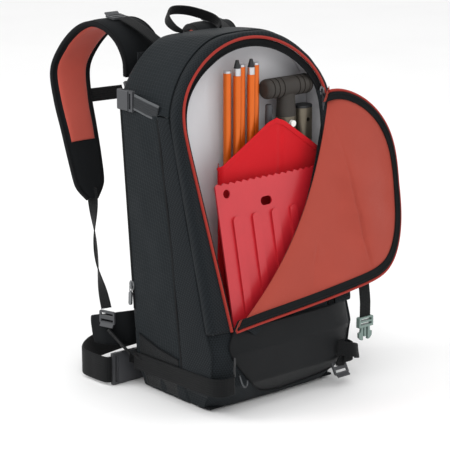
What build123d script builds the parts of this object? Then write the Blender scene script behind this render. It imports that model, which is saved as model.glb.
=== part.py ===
from build123d import *
import os
from math import atan2, cos, hypot, sin

# A 20 litre ski-touring backpack that carries avalanche tools. The front tool compartment is
# open: its zipped panel is folded over to the lower right about a slanting line, and a shovel
# blade, a two-part shovel handle and a folded probe stand inside. The back panel, with the
# shoulder straps on it, hinges open at the lumbar to reach the main compartment.
# X is across the pack (+X is its right side when worn), +Y points at the wearer's back,
# +Z is up. The origin is the middle of the flat base, on the surface that the pack stands on.
# All sizes are in millimetres.

OUT = "parts"

# ---- pack body --------------------------------------------------------------------------
WALL = 3.0                  # fabric with its foam interlining
FIT = 0.5                   # gap left between neighbouring sewn pieces
BASE_HALF_WIDTH = 112.0
BASE_BACK_Y = 62.0
BASE_FRONT_Y = -70.0
BASE_SHEET = 5.0            # stiffened bottom panel
WAIST_Z = 40.0              # where the rounded bottom meets the walls
WAIST_HALF_WIDTH = 124.0
SHOULDER_Z = 400.0          # widest height of the body
SHOULDER_HALF_WIDTH = 139.0
CROWN_Z = 503.0             # top of the front outline
CROWN_BACK_Z = 487.0        # top of the back edge
FRONT_FOOT = (-95.0, 117.0)     # y, z at the bottom of the tool-compartment opening
FRONT_TOP = (-14.0, 499.0)      # y, z at the top of the front face
BULGE = ((-105.0, 88.0), (-100.0, 40.0))    # y, z of the rounded lower front
BACK_FOOT = (79.0, WAIST_Z)
BACK_TOP = (93.0, 470.0)
BACK_HINGE_Z = 114.0        # back panel opens above this height
DIVIDER_Y = 10.0            # wall between the tool and main compartments
DIVIDER = 3.0
LINING = 2.0
LINING_GAP = 0.5

# ---- front opening, in the plane of the front face: u is across, v runs up the face ---------
ARCH_FOOT_HALF = 93.0
ARCH_SHOULDER_HALF = 130.0
ARCH_SHOULDER_V = 300.0
ARCH_TOP_V = 384.0
ARCH_CORNER = 38.0
ZIP_TAPE = 12.0
TAPE_THICK = 1.4
PIPING = 4.0
PIPING_PROUD = 3.0
FOLD_FROM = (-ARCH_FOOT_HALF, 0.0)      # the folded panel's crease, in u and v
FOLD_TO = (ARCH_SHOULDER_HALF, 302.0)
FOLD_OFFSET = 6.0           # crease height in front of the face
FOLD_OPEN = 176.0           # degrees from zipped shut to folded back
FLAP_GAP = 1.0
FLAP_THICK = 3.5
FLAP_CREASE_GAP = 2.0
FLAP_TOP_RELIEF = 40.0      # the crease stops short of the slider by this radius

# ---- harness --------------------------------------------------------------------------------
FOAM = 12.0
WEBBING = 1.8
YOKE_HALF = 104.0
YOKE_Z = (396.0, 468.0)
BACK_FOAM = 13.0
STRAP_WEB = 20.0            # webbing width of the adjusters
BELT_WEB = 38.0
BELT_LOW = 4.5
LEFT_BULGE = 1.0            # the left strap stands out further than the right one
RIGHT_BULGE = 0.8

# ---- buckles, zips and webbing ---------------------------------------------------------------
BUCKLE_THICK = 8.0
PRONG_GAP = 0.3
SOCKET_GAP = 0.6
FLAP_STRAP_TOP = (144.0, -104.5, 158.0)     # x, y, z of the stitched end
FLAP_STRAP_LENGTH = 66.0
ZIP_LIFT = 0.4
SLIDER_UV = (121.8, 297.0)
ZIP_BACK = 4.0
BACK_SLIDER_Z = 150.0
STERNUM = (0.0, 224.2, 387.0)
STERNUM_TURN = -6.0         # degrees; the left strap stands out further
STERNUM_LEAN = -28.0        # degrees; follows the shoulder straps
STERNUM_HALF = 84.0
STERNUM_SOCKET = 40.0
STERNUM_WEB = 20.0
LIFTER_X = 62.0
LOWER_LOCK = (147.0, 112.0, 97.0)
BELT_RING = ((-149.6, 101.0), (-156.0, 105.0), (-159.0, 130.0), (-155.0, 162.0), (-118.0, 194.0),
             (-67.0, 208.0),
             (0.0, 214.0), (80.0, 206.0), (140.0, 186.0), (160.0, 150.0), (158.0, 118.0), (142.0, 106.0),
             (92.0, 101.0))                     # x, y around the back
BELT_TAIL = ((-82.4, 101.0), (-72.0, 101.0), (-60.0, 97.0))
BELT_BUCKLE = (-98.0, 101.0)
HAUL_LOOP = (((-34.0, 80.0, 492.0), 5.0), ((-40.0, 92.0, 497.0), 11.0), ((-36.0, 112.0, 506.0), 15.0),
             ((-18.0, 127.0, 514.0), 15.0), ((10.0, 124.0, 512.0), 15.0), ((34.0, 106.0, 503.0), 15.0),
             ((39.0, 92.0, 497.0), 11.0), ((33.0, 80.0, 492.0), 5.0))      # point, width
HAUL_ACROSS = (0, -0.5, 0.85)
SKI_LOOP = (105.0, -108.0, 43.0)
TOOL_CORD = ((-99.0, -106.7, 84.0), (-104.0, -112.0, 74.0), (-103.0, -112.0, 63.0), (-97.0, -104.2, 58.0))
WIRE_HOOK = ((-88.0, -103.6, 57.0), (-90.0, -110.0, 50.0), (-86.0, -111.0, 42.0), (-79.0, -108.0, 41.0),
             (-77.0, -107.0, 48.0))
STRAP_PATH = (((70.0, 121.5, 432.0), 66.0), ((71.0, 123.0, 456.0), 66.0), ((74.0, 135.0, 480.0), 67.0),
              ((79.0, 156.0, 496.0), 68.0), ((84.0, 182.0, 499.0), 68.0),
              ((91.0, 208.0, 487.0), 68.0), ((100.0, 232.0, 460.0), 66.0), ((110.0, 241.0, 428.0), 64.0),
              ((119.0, 224.0, 390.0), 60.0), ((126.0, 201.0, 352.0), 56.0), ((132.0, 180.0, 314.0), 52.0),
              ((137.0, 163.0, 282.0), 46.0), ((140.0, 152.0, 260.0), 34.0))
RIGHT_RISE = 0.72

# ---- tools ----------------------------------------------------------------------------------
PROBE_RADIUS = 5.5
PROBE_PITCH = 12.4
SHAFT = (30.0, 24.0)
LOWER_SHAFT = (27.0, 22.0)
SHAFT_WALL = 2.0
UPPER_TOP = 376.0
LOWER_TOP = 384.0
BUTTON_Z = 367.0
BUTTON_RADIUS = 4.5
PROBE_SECTIONS = ((2.0, 446.0), (-4.0, 442.0), (2.0, 452.0), (-4.0, 441.0), (2.0, 452.0))    # y offset, top
PROBE_TIPS = (1, 3)
PROBE_HANDLE = (37.0, -18.0, 397.0)
SHAFT_Y = -14.0
UPPER_SHAFT_X = 72.0
LOWER_SHAFT_X = 104.0
GRIP_Z = 417.0
GRIP_HALF = 42.0
GRIP_RADIUS = 14.0
PROBE_X = -29.0
PROBE_Y = -10.0
PROBE_TOP = 446.0
SLEEVE_Y = -31.0
SLEEVE_SHEET = 1.2
SLEEVE_SEAM_X = 47.0
SLEEVE_SLANT = 30.0         # how far the left wall leans in at the divider
SLEEVE_HEM = ((-60.0, 100.0), (-60.0, 322.0), (39.0, 383.0), (120.0, 326.0), (120.0, 100.0))  # x, z
FLOOR_Z = 66.0              # underside of the tool compartment's floor
BLADE_HALF_WIDTH = 96.0
BLADE_X = 14.0
BLADE_TOP_V = 196.0
BLADE_HEIGHT = 243.0
BLADE_THICK = 2.5
BLADE_DEPTH = 9.0           # how far the blade stands behind the front face
BLADE_RIB = 3.0

# ---- worked out -----------------------------------------------------------------------------
LEAN = atan2(FRONT_TOP[0] - FRONT_FOOT[0], FRONT_TOP[1] - FRONT_FOOT[1])
OUTWARD = Vector(0, -cos(LEAN), sin(LEAN))
FACE = Plane(origin=(0, *FRONT_FOOT), x_dir=(1, 0, 0), z_dir=OUTWARD)


def save(name, shape):
    """Writes one node; several solids become one compound."""
    shapes = shape if isinstance(shape, list) else [shape]
    solids = [solid for each in shapes for solid in each.solids()]
    export_step(Compound(children=list(solids)) if len(solids) > 1 else solids[0], f"{OUT}/{name}.step")


def polygon(points, plane, height):
    """Prism of a closed outline drawn in a plane's own coordinates."""
    return extrude(plane * make_face(Polyline(*points, close=True)), amount=height)


def back_y(z):
    """Depth of the back face at height z."""
    (y0, z0), (y1, z1) = BACK_FOOT, BACK_TOP
    return y0 + (z - z0) * (y1 - y0) / (z1 - z0)


def face_y(z):
    """Depth of the front face at height z."""
    return FRONT_FOOT[0] + (z - FRONT_FOOT[1]) * (FRONT_TOP[0] - FRONT_FOOT[0]) / (FRONT_TOP[1]
            - FRONT_FOOT[1])


def half_width(z):
    """Half the body's width at height z, below its shoulder."""
    share = (z - WAIST_Z) / (SHOULDER_Z - WAIST_Z)
    return WAIST_HALF_WIDTH + share * (SHOULDER_HALF_WIDTH - WAIST_HALF_WIDTH)


def side_outline():
    """The body seen from the side, in y and z."""
    return make_face(Polyline(
        (BASE_BACK_Y, 0), BACK_FOOT, BACK_TOP, (BACK_TOP[0] - 8, CROWN_BACK_Z), FRONT_TOP,
        FRONT_FOOT, *BULGE, (BASE_FRONT_Y, 0), close=True))


def front_outline():
    """The body seen from the front, in x and z: straight sides under a round crown."""
    w, s = WAIST_HALF_WIDTH, SHOULDER_HALF_WIDTH
    edges = [
        Line((-BASE_HALF_WIDTH, 0), (BASE_HALF_WIDTH, 0)), Line((BASE_HALF_WIDTH, 0), (w, WAIST_Z)),
        Line((w, WAIST_Z), (s, SHOULDER_Z)), ThreePointArc((s, SHOULDER_Z), (0, CROWN_Z), (-s, SHOULDER_Z)),
        Line((-s, SHOULDER_Z), (-w, WAIST_Z)), Line((-w, WAIST_Z), (-BASE_HALF_WIDTH, 0))]
    return make_face(Curve() + edges)


def body(inset):
    """The solid inside the body's outer skin, taken in by inset."""
    side = offset(side_outline(), amount=-inset) if inset else side_outline()
    front = offset(front_outline(), amount=-inset) if inset else front_outline()
    across = extrude(Plane.YZ.offset(-200) * side, amount=400)
    return across & extrude(Plane.XZ.offset(-200) * front, amount=400)


def slab(low, high):
    """Everything between two heights above the front face, along its outward normal."""
    return extrude(FACE.offset(low) * Rectangle(900, 1400), amount=high - low)


def above(z):
    return Pos(0, 0, z + 400) * Box(900, 900, 800)


def below(z):
    return Pos(0, 0, z - 400) * Box(900, 900, 800)


def behind(y):
    return Pos(0, y + 400, 300) * Box(900, 800, 1400)


def left_half():
    return Pos(-400, 0, 300) * Box(800, 900, 1400)


def back_slab(low, high):
    """Everything between two heights off the back face, outwards positive."""
    (y0, z0), (y1, z1) = BACK_FOOT, BACK_TOP
    run = Vector(0, y1 - y0, z1 - z0).normalized()
    out = Vector(0, run.Z, -run.Y)
    plane = Plane(origin=(0, y0, z0), x_dir=(1, 0, 0), z_dir=out)
    return extrude(plane.offset(low) * Rectangle(900, 1400), amount=high - low)


def arch(grow=0.0):
    """The front opening's outline in the plane of the front face."""
    foot, shoulder = ARCH_FOOT_HALF, ARCH_SHOULDER_HALF
    edges = [
        Line((-foot, 0), (foot, 0)), Line((foot, 0), (shoulder, ARCH_SHOULDER_V)),
        ThreePointArc((shoulder, ARCH_SHOULDER_V), (0, ARCH_TOP_V), (-shoulder, ARCH_SHOULDER_V)),
        Line((-shoulder, ARCH_SHOULDER_V), (-foot, 0))]
    face = make_face(Curve() + edges)
    face = fillet(face.vertices().group_by(Axis.Y)[1], ARCH_CORNER)
    return offset(face, amount=grow) if grow else face


def fold_side(sign, gap):
    """The half of the front face on one side of the crease: +1 above it, -1 below it."""
    du, dv = FOLD_TO[0] - FOLD_FROM[0], FOLD_TO[1] - FOLD_FROM[1]
    length = hypot(du, dv)
    along, across = (du / length, dv / length), (-dv / length * sign, du / length * sign)
    points = []
    for run, rise in ((-600, gap), (900, gap), (900, 900), (-600, 900)):
        points.append((FOLD_FROM[0] + along[0] * run + across[0] * rise,
                       FOLD_FROM[1] + along[1] * run + across[1] * rise))
    return make_face(Polyline(*points, close=True))


def on_face(u, v, height=0.0):
    """A point given across, up and out from the front face."""
    return FACE.from_local_coords(Vector(u, v, height))


def triangle(a, b, c):
    return Face(Wire.make_polygon([a, b, c], close=True))


def ribbon(stations, thickness):
    """A flat strap through (point, width, width direction) stations, faceted so that it closes."""
    points = [Vector(*s[0]) for s in stations]
    rings = []
    for i, (_, width, across) in enumerate(stations):
        ahead = points[min(i + 1, len(points) - 1)] - points[max(i - 1, 0)]
        normal = ahead.cross(Vector(*across)).normalized()
        side = normal.cross(ahead).normalized() * (width / 2)
        lift = normal * (thickness / 2)
        rings.append([points[i] + side + lift, points[i] - side + lift,
                      points[i] - side - lift, points[i] + side - lift])
    first, last = rings[0], rings[-1]
    faces = [triangle(first[0], first[1], first[2]), triangle(first[0], first[2], first[3]),
             triangle(last[0], last[2], last[1]), triangle(last[0], last[3], last[2])]
    for near, far in zip(rings, rings[1:]):
        for k in range(4):
            m = (k + 1) % 4
            faces += [triangle(near[k], far[k], far[m]), triangle(near[k], far[m], near[m])]
    strap = Solid(Shell(faces))
    return strap if strap.volume > 0 else Solid(Shell([-face for face in faces]))


def mirror_x(shape):
    return mirror(shape, about=Plane.YZ)


# ---- pack body ------------------------------------------------------------------------------

def make_body():
    """Sewn walls of the pack, each a panel of one shell."""
    shell = body(0) - body(WALL)
    walls = shell - (slab(-WALL, 900) & above(FRONT_FOOT[1]))
    back_open = back_slab(-WALL, 900) & above(BACK_HINGE_Z)
    walls = walls - back_open
    middle = walls & above(BASE_SHEET) & below(SHOULDER_Z)
    low = middle & below(FRONT_FOOT[1])
    lower_front = low & (Pos(0, BASE_FRONT_Y - 400, 300) * Box(900, 800, 1400))
    lumbar_wall = middle & below(BACK_HINGE_Z) & back_slab(-WALL, 900)
    sides = middle - lower_front - lumbar_wall
    save("side_panel_left", sides & left_half())
    save("side_panel_right", mirror_x(sides & left_half()))
    save("lower_front_panel", lower_front)
    save("crown_panel", walls & above(SHOULDER_Z))
    save("base_panel", (body(0) & below(BASE_SHEET)) + lumbar_wall)


def make_front_face():
    """The face around the opening, the part of the panel that is still zipped, and the zip."""
    frame = (body(0) & slab(-WALL, 0) & above(FRONT_FOOT[1])) - extrude(FACE.offset(-10) * arch(),
            amount=20)
    save("front_frame", frame)
    inner = arch(-ZIP_TAPE - FIT)
    foot = Rectangle(2 * (ARCH_FOOT_HALF - ZIP_TAPE - FIT) - 1, 2 * ZIP_TAPE + 4) & arch()
    fixed = (inner + foot) & fold_side(-1, FLAP_CREASE_GAP)
    save("zipped_panel", extrude(FACE.offset(-WALL) * fixed, amount=WALL) & above(FRONT_FOOT[1] + 0.2))
    tape = arch() - arch(-ZIP_TAPE)
    tape = tape - Pos(0, ZIP_TAPE / 2) * Rectangle(2 * ARCH_FOOT_HALF + 20, ZIP_TAPE)
    tape = extrude(FACE.offset(-FIT - TAPE_THICK) * tape, amount=TAPE_THICK)
    piping = arch(PIPING) - arch() - Pos(0, -20) * Rectangle(400, 40)
    save("front_zip", list(tape.solids()) + list(extrude(FACE * piping, amount=PIPING_PROUD).solids()))


def make_inside():
    """The grey divider, the lining with its floor, and the red sleeve that holds the long tools."""
    ahead = Pos(0, DIVIDER_Y + DIVIDER - 400, 300) * Box(900, 800, 1400)
    save("divider_panel", body(WALL + FIT) & behind(DIVIDER_Y) & ahead & above(BASE_SHEET + FIT))
    room = body(WALL + LINING_GAP) - behind(DIVIDER_Y - FIT)
    open_front = slab(-WALL - LINING_GAP - LINING - 0.1, 900) & above(FRONT_FOOT[1])
    lining = ((room - body(WALL + LINING_GAP + LINING)) & above(FLOOR_Z)) - open_front
    floor = room & above(FLOOR_Z) & below(FLOOR_Z + LINING)
    save("compartment_lining", lining + floor)
    save("tool_sleeve", sleeve())


def sleeve():
    """A sewn pocket with a pointed hem; one seam parts the probe from the shovel handle."""
    front = extrude(Plane.XZ.offset(-SLEEVE_Y) * make_face(Polyline(*SLEEVE_HEM, close=True)),
                    amount=-SLEEVE_SHEET)
    depth = DIVIDER_Y - FIT - SLEEVE_Y
    left, low = SLEEVE_HEM[0]
    plan = Polyline((left, SLEEVE_Y), (left + SLEEVE_SHEET, SLEEVE_Y), (left + SLEEVE_SLANT + SLEEVE_SHEET,
            SLEEVE_Y + depth),
                    (left + SLEEVE_SLANT, SLEEVE_Y + depth), close=True)
    walls = [extrude(Plane.XY.offset(low) * make_face(plan), amount=SLEEVE_HEM[1][1] - low)]
    for x, top in ((SLEEVE_SEAM_X, SLEEVE_HEM[2][1] - 8), (SLEEVE_HEM[4][0] - SLEEVE_SHEET,
                                                           SLEEVE_HEM[3][1] - 2)):
        walls.append(Pos(x, SLEEVE_Y, low) * Box(SLEEVE_SHEET, depth, top - low, align=(Align.MIN,) * 3))
    width = SLEEVE_HEM[4][0] - SLEEVE_HEM[0][0]
    floor = Pos(SLEEVE_HEM[0][0], SLEEVE_Y, SLEEVE_HEM[0][1]) * Box(width, depth, SLEEVE_SHEET,
            align=(Align.MIN,) * 3)
    return front + walls + floor


# ---- folded front panel ------------------------------------------------------------------------

def flap_outline(grow):
    """The unzipped part of the front panel, lying shut, in the plane of the front face."""
    relief = Pos(FOLD_TO[0], FOLD_TO[1]) * Circle(FLAP_TOP_RELIEF)
    return (arch(grow) & fold_side(1, FLAP_CREASE_GAP)) - relief


def crease():
    """The axis that the panel folds about, running up from the lower corner to the slider."""
    start, end = on_face(*FOLD_FROM, FOLD_OFFSET), on_face(*FOLD_TO, FOLD_OFFSET)
    return Axis(start, end - start)


def make_flap():
    """The panel, its zip tape and piping, made shut and then folded open."""
    panel = extrude(FACE.offset(FLAP_GAP) * flap_outline(-ZIP_TAPE - FIT), amount=FLAP_THICK)
    tape = flap_outline(-FIT) - arch(-ZIP_TAPE) - Pos(0, ZIP_TAPE / 2) * Rectangle(2 * ARCH_FOOT_HALF + 20,
            ZIP_TAPE)
    tape = extrude(FACE.offset(FLAP_GAP) * tape, amount=TAPE_THICK)
    edge = (flap_outline(-FIT) - arch(-PIPING)) - Pos(0, ZIP_TAPE / 2) * Rectangle(2 * ARCH_FOOT_HALF + 20,
            ZIP_TAPE)
    edge = extrude(FACE.offset(FLAP_GAP + TAPE_THICK) * edge, amount=PIPING_PROUD)
    for name, shape in (("flap_panel", panel), ("flap_zip", tape + edge)):
        save(name, shape.rotate(crease(), FOLD_OPEN))


# ---- folded panel's strap, and buckles ---------------------------------------------------------

def at(origin, x_dir, z_dir):
    """A place whose own x and z axes point the given ways."""
    return Plane(origin=origin, x_dir=x_dir, z_dir=z_dir).location


def buckle_frame(web):
    """Male half without its prongs: a slotted frame and the centre tongue. The tongue points +Y."""
    frame = Pos(0, -7.5, 0) * Box(web + 7, 15, BUCKLE_THICK - 1.5)
    frame = frame - Pos(0, -11, 0) * Box(web + 1, 3.4, 20) - Pos(0, -5, 0) * Box(web + 1, 3.4, 20)
    tongue = Pos(0, web * 0.35, 0) * Box(web * 0.18, web * 0.7 + 1, 2.4)
    return fillet(frame.edges().filter_by(Axis.Z).sort_by(SortBy.DISTANCE)[-4:], 2) + tongue


def buckle_prong(web, side):
    """One springy side arm, with the shoulder that shows in the side window."""
    reach, half = web, web / 2
    outline = [(half - 5.5, PRONG_GAP), (half - 1.8, PRONG_GAP), (half - 1.2, reach * 0.34),
               (half + 2.6, reach * 0.42), (half + 2.2, reach * 0.74), (half - 2.2, reach * 0.95),
               (half - 5.6, reach * 0.95), (half - 5.2, reach * 0.5)]
    arm = extrude(Pos(0, 0, -1.9) * make_face(Polyline(*outline, close=True)), amount=3.8)
    return arm if side > 0 else mirror_x(arm)


def buckle_socket(web):
    """Female half: a hollow body with a mouth, two side windows and a webbing bar."""
    w, reach = web + 8, web + 3
    shell = Pos(0, SOCKET_GAP + reach / 2, 0) * Box(w, reach, BUCKLE_THICK)
    shell = fillet(shell.edges().filter_by(Axis.Y), 2.4)
    room = Pos(0, reach / 2 - 2, 0) * Box(web - 1, reach, 4.6)
    windows = Pos(0, web * 0.6, 0) * Box(w + 2, web * 0.6, 4.6)
    bar = Pos(0, SOCKET_GAP + reach + 4.4, 0) * Box(w, 9, BUCKLE_THICK - 2.5)
    bar = bar - Pos(0, SOCKET_GAP + reach + 3.6, 0) * Box(web + 1, 3.8, 20)
    return shell - room - windows + bar


def ladder_lock(web):
    """A slotted adjuster with a finger lip. Webbing enters along Y."""
    plate = Box(web + 6, 19, 3)
    plate = fillet(plate.edges().filter_by(Axis.Z), 2.5)
    slots = Pos(0, 4.4, 0) * Box(web + 0.8, 3.6, 20) + Pos(0, -4.4, 0) * Box(web + 0.8, 3.6, 20)
    lip = Pos(0, -10.5, 1.6) * Rot(-28, 0, 0) * Box(web + 2, 7, 2)
    return plate - slots + lip


def make_flap_strap():
    """The panel's hold-down strap hangs below the folded panel with the male half of a buckle."""
    (x, y, z), low = FLAP_STRAP_TOP, FLAP_STRAP_LENGTH
    save("flap_strap", Pos(x, y, z) * Box(STRAP_WEB, WEBBING, low, align=(Align.CENTER, Align.CENTER,
            Align.MAX)))
    place = at((x, y, z - low - 15), (1, 0, 0), (0, -1, 0)) * Rot(0, 0, 180)
    save("flap_buckle", place * buckle_frame(STRAP_WEB))
    save("flap_prong_left", place * buckle_prong(STRAP_WEB, 1))
    save("flap_prong_right", place * buckle_prong(STRAP_WEB, -1))


# ---- zips --------------------------------------------------------------------------------------

def slider_body():
    """Zip slider: two plates joined by a neck, and the bridge that holds the pull."""
    plate = extrude(make_face(Polyline((-5, -5.5), (5, -5.5), (5.6, 2), (3.5, 6), (-3.5, 6), (-5.6, 2),
                                       close=True)), amount=1.3)
    bridge = Pos(0, 0, 2.2) * Box(2.6, 8, 1.8)
    hole = Pos(0, -1.5, 1.9) * Rot(0, 90, 0) * Cylinder(0.95, 20)
    return plate + bridge - hole


def pull_tab():
    """Moulded pull on a wire eye. The eye's centre is the origin; the tab hangs along -Y."""
    eye = Pos(0, -3.6, 0) * (Box(4.8, 8.6, 1.1) - Pos(0, 0.6, 0) * Box(3.1, 5.8, 20))
    tab = Pos(0, -17, 0) * Box(6, 19, 2.6)
    return eye + fillet(tab.edges().filter_by(Axis.Z), 2.6)


def make_zips():
    """The front slider on the straight right side of the opening, and the back access zip."""
    side = Vector(ARCH_FOOT_HALF - ARCH_SHOULDER_HALF, -ARCH_SHOULDER_V).normalized()
    run = FACE.x_dir * side.X + FACE.y_dir * side.Y
    spot = on_face(SLIDER_UV[0], SLIDER_UV[1], ZIP_LIFT)
    across = run.cross(OUTWARD)
    place = at(spot, across * -1, OUTWARD)
    save("zip_slider", place * slider_body())
    save("zip_pull", place * Pos(0, -1.5, 1.9) * pull_tab())
    strip = back_slab(-ZIP_BACK - 9, -ZIP_BACK) & above(BACK_HINGE_Z) & below(SHOULDER_Z + 40)
    save("back_zip_tape", (body(-TAPE_THICK) - body(0)) & strip)
    z = BACK_SLIDER_Z
    x = -half_width(z) - 2.6
    place = at((x, back_y(z) - ZIP_BACK - 4.5, z), (0, -1, 0), (-1, 0, 0.0417))
    save("back_zip_slider", place * (slider_body() + Pos(0, -1.5, 2.6) * pull_tab()))


# ---- back panel and harness --------------------------------------------------------------------

def back_plate(half, low, high, near, far, corner=30.0):
    """A rounded plate lying off the back face between two heights."""
    (y0, z0), (y1, z1) = BACK_FOOT, BACK_TOP
    run = Vector(0, y1 - y0, z1 - z0).normalized()
    plane = Plane(origin=(0, y0, z0), x_dir=(-1, 0, 0), z_dir=(0, run.Z, -run.Y))
    shape = Pos(0, (low + high) / 2 - z0) * RectangleRounded(2 * half, high - low, corner)
    return extrude(plane.offset(near) * shape, amount=far - near)


def make_back_panel():
    """Cover, frame sheet, two stays, moulded foam with channels, and the yoke pad."""
    shell = body(0) - body(WALL)
    save("back_panel", shell & back_slab(-WALL, 900) & above(BACK_HINGE_Z + FIT))
    sheet = back_plate(YOKE_HALF - 6, BACK_HINGE_Z + 8, 462, -WALL - FIT - 1.6, -WALL - FIT)
    stay = back_plate(6, BACK_HINGE_Z + 14, 452, -WALL - FIT - 4.6, -WALL - FIT - 1.6, 5.9)
    save("frame_sheet", sheet + [Pos(s * 62, 0, 0) * stay for s in (-1, 1)])
    foam = back_plate(YOKE_HALF, BACK_HINGE_Z + 6, 470, 0.1, BACK_FOAM)
    channels = [back_plate(13, BACK_HINGE_Z - 20, 520, 6, 40, 8)]
    for z in (180, 240, 300, 356):
        channels.append(back_plate(200, z, z + 14, 7, 40, 6))
    for cut in channels:
        foam = foam - cut
    save("back_foam", foam)
    save("yoke", back_plate(YOKE_HALF - 14, *YOKE_Z, BACK_FOAM + 0.1, BACK_FOAM + 9, 26))


def strap_path(side):
    """Centre line of a shoulder strap; the two straps settle to different heights."""
    bulge = LEFT_BULGE if side < 0 else RIGHT_BULGE
    stations = []
    for (x, y, z), width in STRAP_PATH:
        start_y, start_z = STRAP_PATH[0][0][1], STRAP_PATH[0][0][2]
        up = z if side < 0 or z < start_z else start_z + (z - start_z) * RIGHT_RISE
        stations.append(((side * x, start_y + (y - start_y) * bulge, up), width, (1, 0, 0)))
    return stations


def shifted(stations, distance):
    """Stations moved along the strap's own normal."""
    points = [Vector(*s[0]) for s in stations]
    moved = []
    for i, (_, width, across) in enumerate(stations):
        ahead = points[min(i + 1, len(points) - 1)] - points[max(i - 1, 0)]
        normal = ahead.cross(Vector(*across)).normalized()
        moved.append((tuple(points[i] + normal * distance), width, across))
    return moved


def make_harness():
    """Shoulder straps with linings, adjuster webbing, load lifters and their ladder locks."""
    linings, lifters, locks, low_locks, lower = [], [], [], [], []
    for side, name in ((-1, "left"), (1, "right")):
        path = strap_path(side)
        save(f"shoulder_strap_{name}", ribbon(path, FOAM))
        thin = [(p, w - 8, a) for p, w, a in shifted(path, FOAM / 2 + 0.9)][1:-2]
        linings.append(ribbon(thin, 1.6))
        near, far = Vector(*path[3][0]), Vector(*path[4][0])
        lift = (far - near).cross(Vector(-1, 0, 0)).normalized()
        seat = (near + far) * 0.5 + lift * (FOAM / 2 + 3.8)
        top = seat - (far - near).normalized() * 12.5 + lift
        root = Vector(side * LIFTER_X, back_y(474) + 3, 478)
        lifters.append(ribbon([(tuple(root), STRAP_WEB, (1, 0, 0)),
                               (tuple((root + top) * 0.5 + Vector(0, 0, 2)), STRAP_WEB, (1, 0, 0)),
                               (tuple(top), STRAP_WEB, (1, 0, 0))], WEBBING))
        locks.append(at(tuple(seat), (-1, 0, 0), tuple(lift)) * ladder_lock(STRAP_WEB))
        end = Vector(*path[-1][0])
        knee = Vector(side * LOWER_LOCK[0], LOWER_LOCK[1], LOWER_LOCK[2])
        lower.append(ribbon([(tuple(end + Vector(0, -1, -2)), STRAP_WEB, (0.3 * side, 1, 0)),
                                              (tuple((end + knee) * 0.5 + Vector(side * 3, 4, 0)),
                                               STRAP_WEB, (0.3 * side, 1, 0)),
                                              (tuple(knee + Vector(0, 2, 13)), STRAP_WEB, (0.3 * side, 1,
                                                      0))], WEBBING))
        low_locks.append(at(tuple(knee), (0.3, side, 0), (side, -0.3, 0)) * ladder_lock(STRAP_WEB))
    save("strap_linings", [s.solid() for s in linings])
    save("lifter_webbing", [s.solid() for s in lifters])
    save("lifter_locks", [s.solid() for s in locks])
    save("lower_webbing", [s.solid() for s in lower])
    x, y, z = SKI_LOOP
    low_locks.append(at((x - 8, y + 4, z - 17), (1, 0, 0), (0, -1, 0.6)) * ladder_lock(STRAP_WEB))
    save("lower_locks", [s.solid() for s in low_locks])


def make_sternum():
    """Chest strap: two clips on the shoulder straps, webbing, and a closed buckle."""
    x, y, z = 0, 0, 0
    spot = Pos(*STERNUM) * Rot(0, 0, STERNUM_TURN) * Rot(STERNUM_LEAN, 0, 0)
    web = []
    for side in (-1, 1):
        reach = STERNUM_HALF - STERNUM_SOCKET
        web.append(Pos(side * (STERNUM_SOCKET + reach / 2), y, z) * Box(reach, WEBBING, STERNUM_WEB))
    save("sternum_webbing", [(spot * s).solid() for s in web])
    clips = [Pos(side * (STERNUM_HALF + 5.2), y, z) * Box(10, 6, STERNUM_WEB + 8) for side in (-1, 1)]
    save("sternum_clips", [(spot * fillet(c.edges().filter_by(Axis.Y), 3)).solid() for c in clips])
    place = spot * at((10, 0, 0), (0, 0, -1), (0, 1, 0))
    save_closed_buckle("sternum", place, STERNUM_WEB)


def save_closed_buckle(name, place, web):
    save(f"{name}_buckle_male", place * buckle_frame(web))
    save(f"{name}_buckle_female", place * buckle_socket(web))
    save(f"{name}_prong_a", place * buckle_prong(web, 1))
    save(f"{name}_prong_b", place * buckle_prong(web, -1))


def make_hip_belt():
    """Lumbar pad and side wings, and the belt fastened in a ring behind the pack."""
    pad = back_plate(YOKE_HALF, WAIST_Z - 6, BACK_HINGE_Z - 8, 0.1, 12, 14)
    wings = []
    for side in (-1, 1):
        wings.append(ribbon([((side * 96, 98, 78), 52, (0, 0, 1)), ((side * 122, 104, 78), 52, (0, 0, 1)),
                             ((side * 141, 122, 76), 48, (0, 0, 1)), ((side * 147, 146, 72), 42,
                                     (0, 0, 1))], 9))
    save("lumbar_pad", pad + wings)
    mid = BELT_LOW + BELT_WEB / 2
    ring = []
    for x, y in BELT_RING:
        ring.append(((x, y, mid), BELT_WEB, (0, 0, 1)))
    tail = [((x, y, mid), BELT_WEB, (0, 0, 1)) for x, y in BELT_TAIL]
    save("hip_belt", [ribbon(ring, WEBBING + 0.6), ribbon(tail, WEBBING + 0.6)])
    save_closed_buckle("hip", at((*BELT_BUCKLE, mid), (0, 0, -1), (0, 1, 0)), BELT_WEB)


def make_haul_loop():
    stations = []
    for point, width in HAUL_LOOP:
        stations.append((point, width, HAUL_ACROSS))
    save("haul_loop", ribbon(stations, 3))


# ---- straps and loops on the body --------------------------------------------------------------

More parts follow.
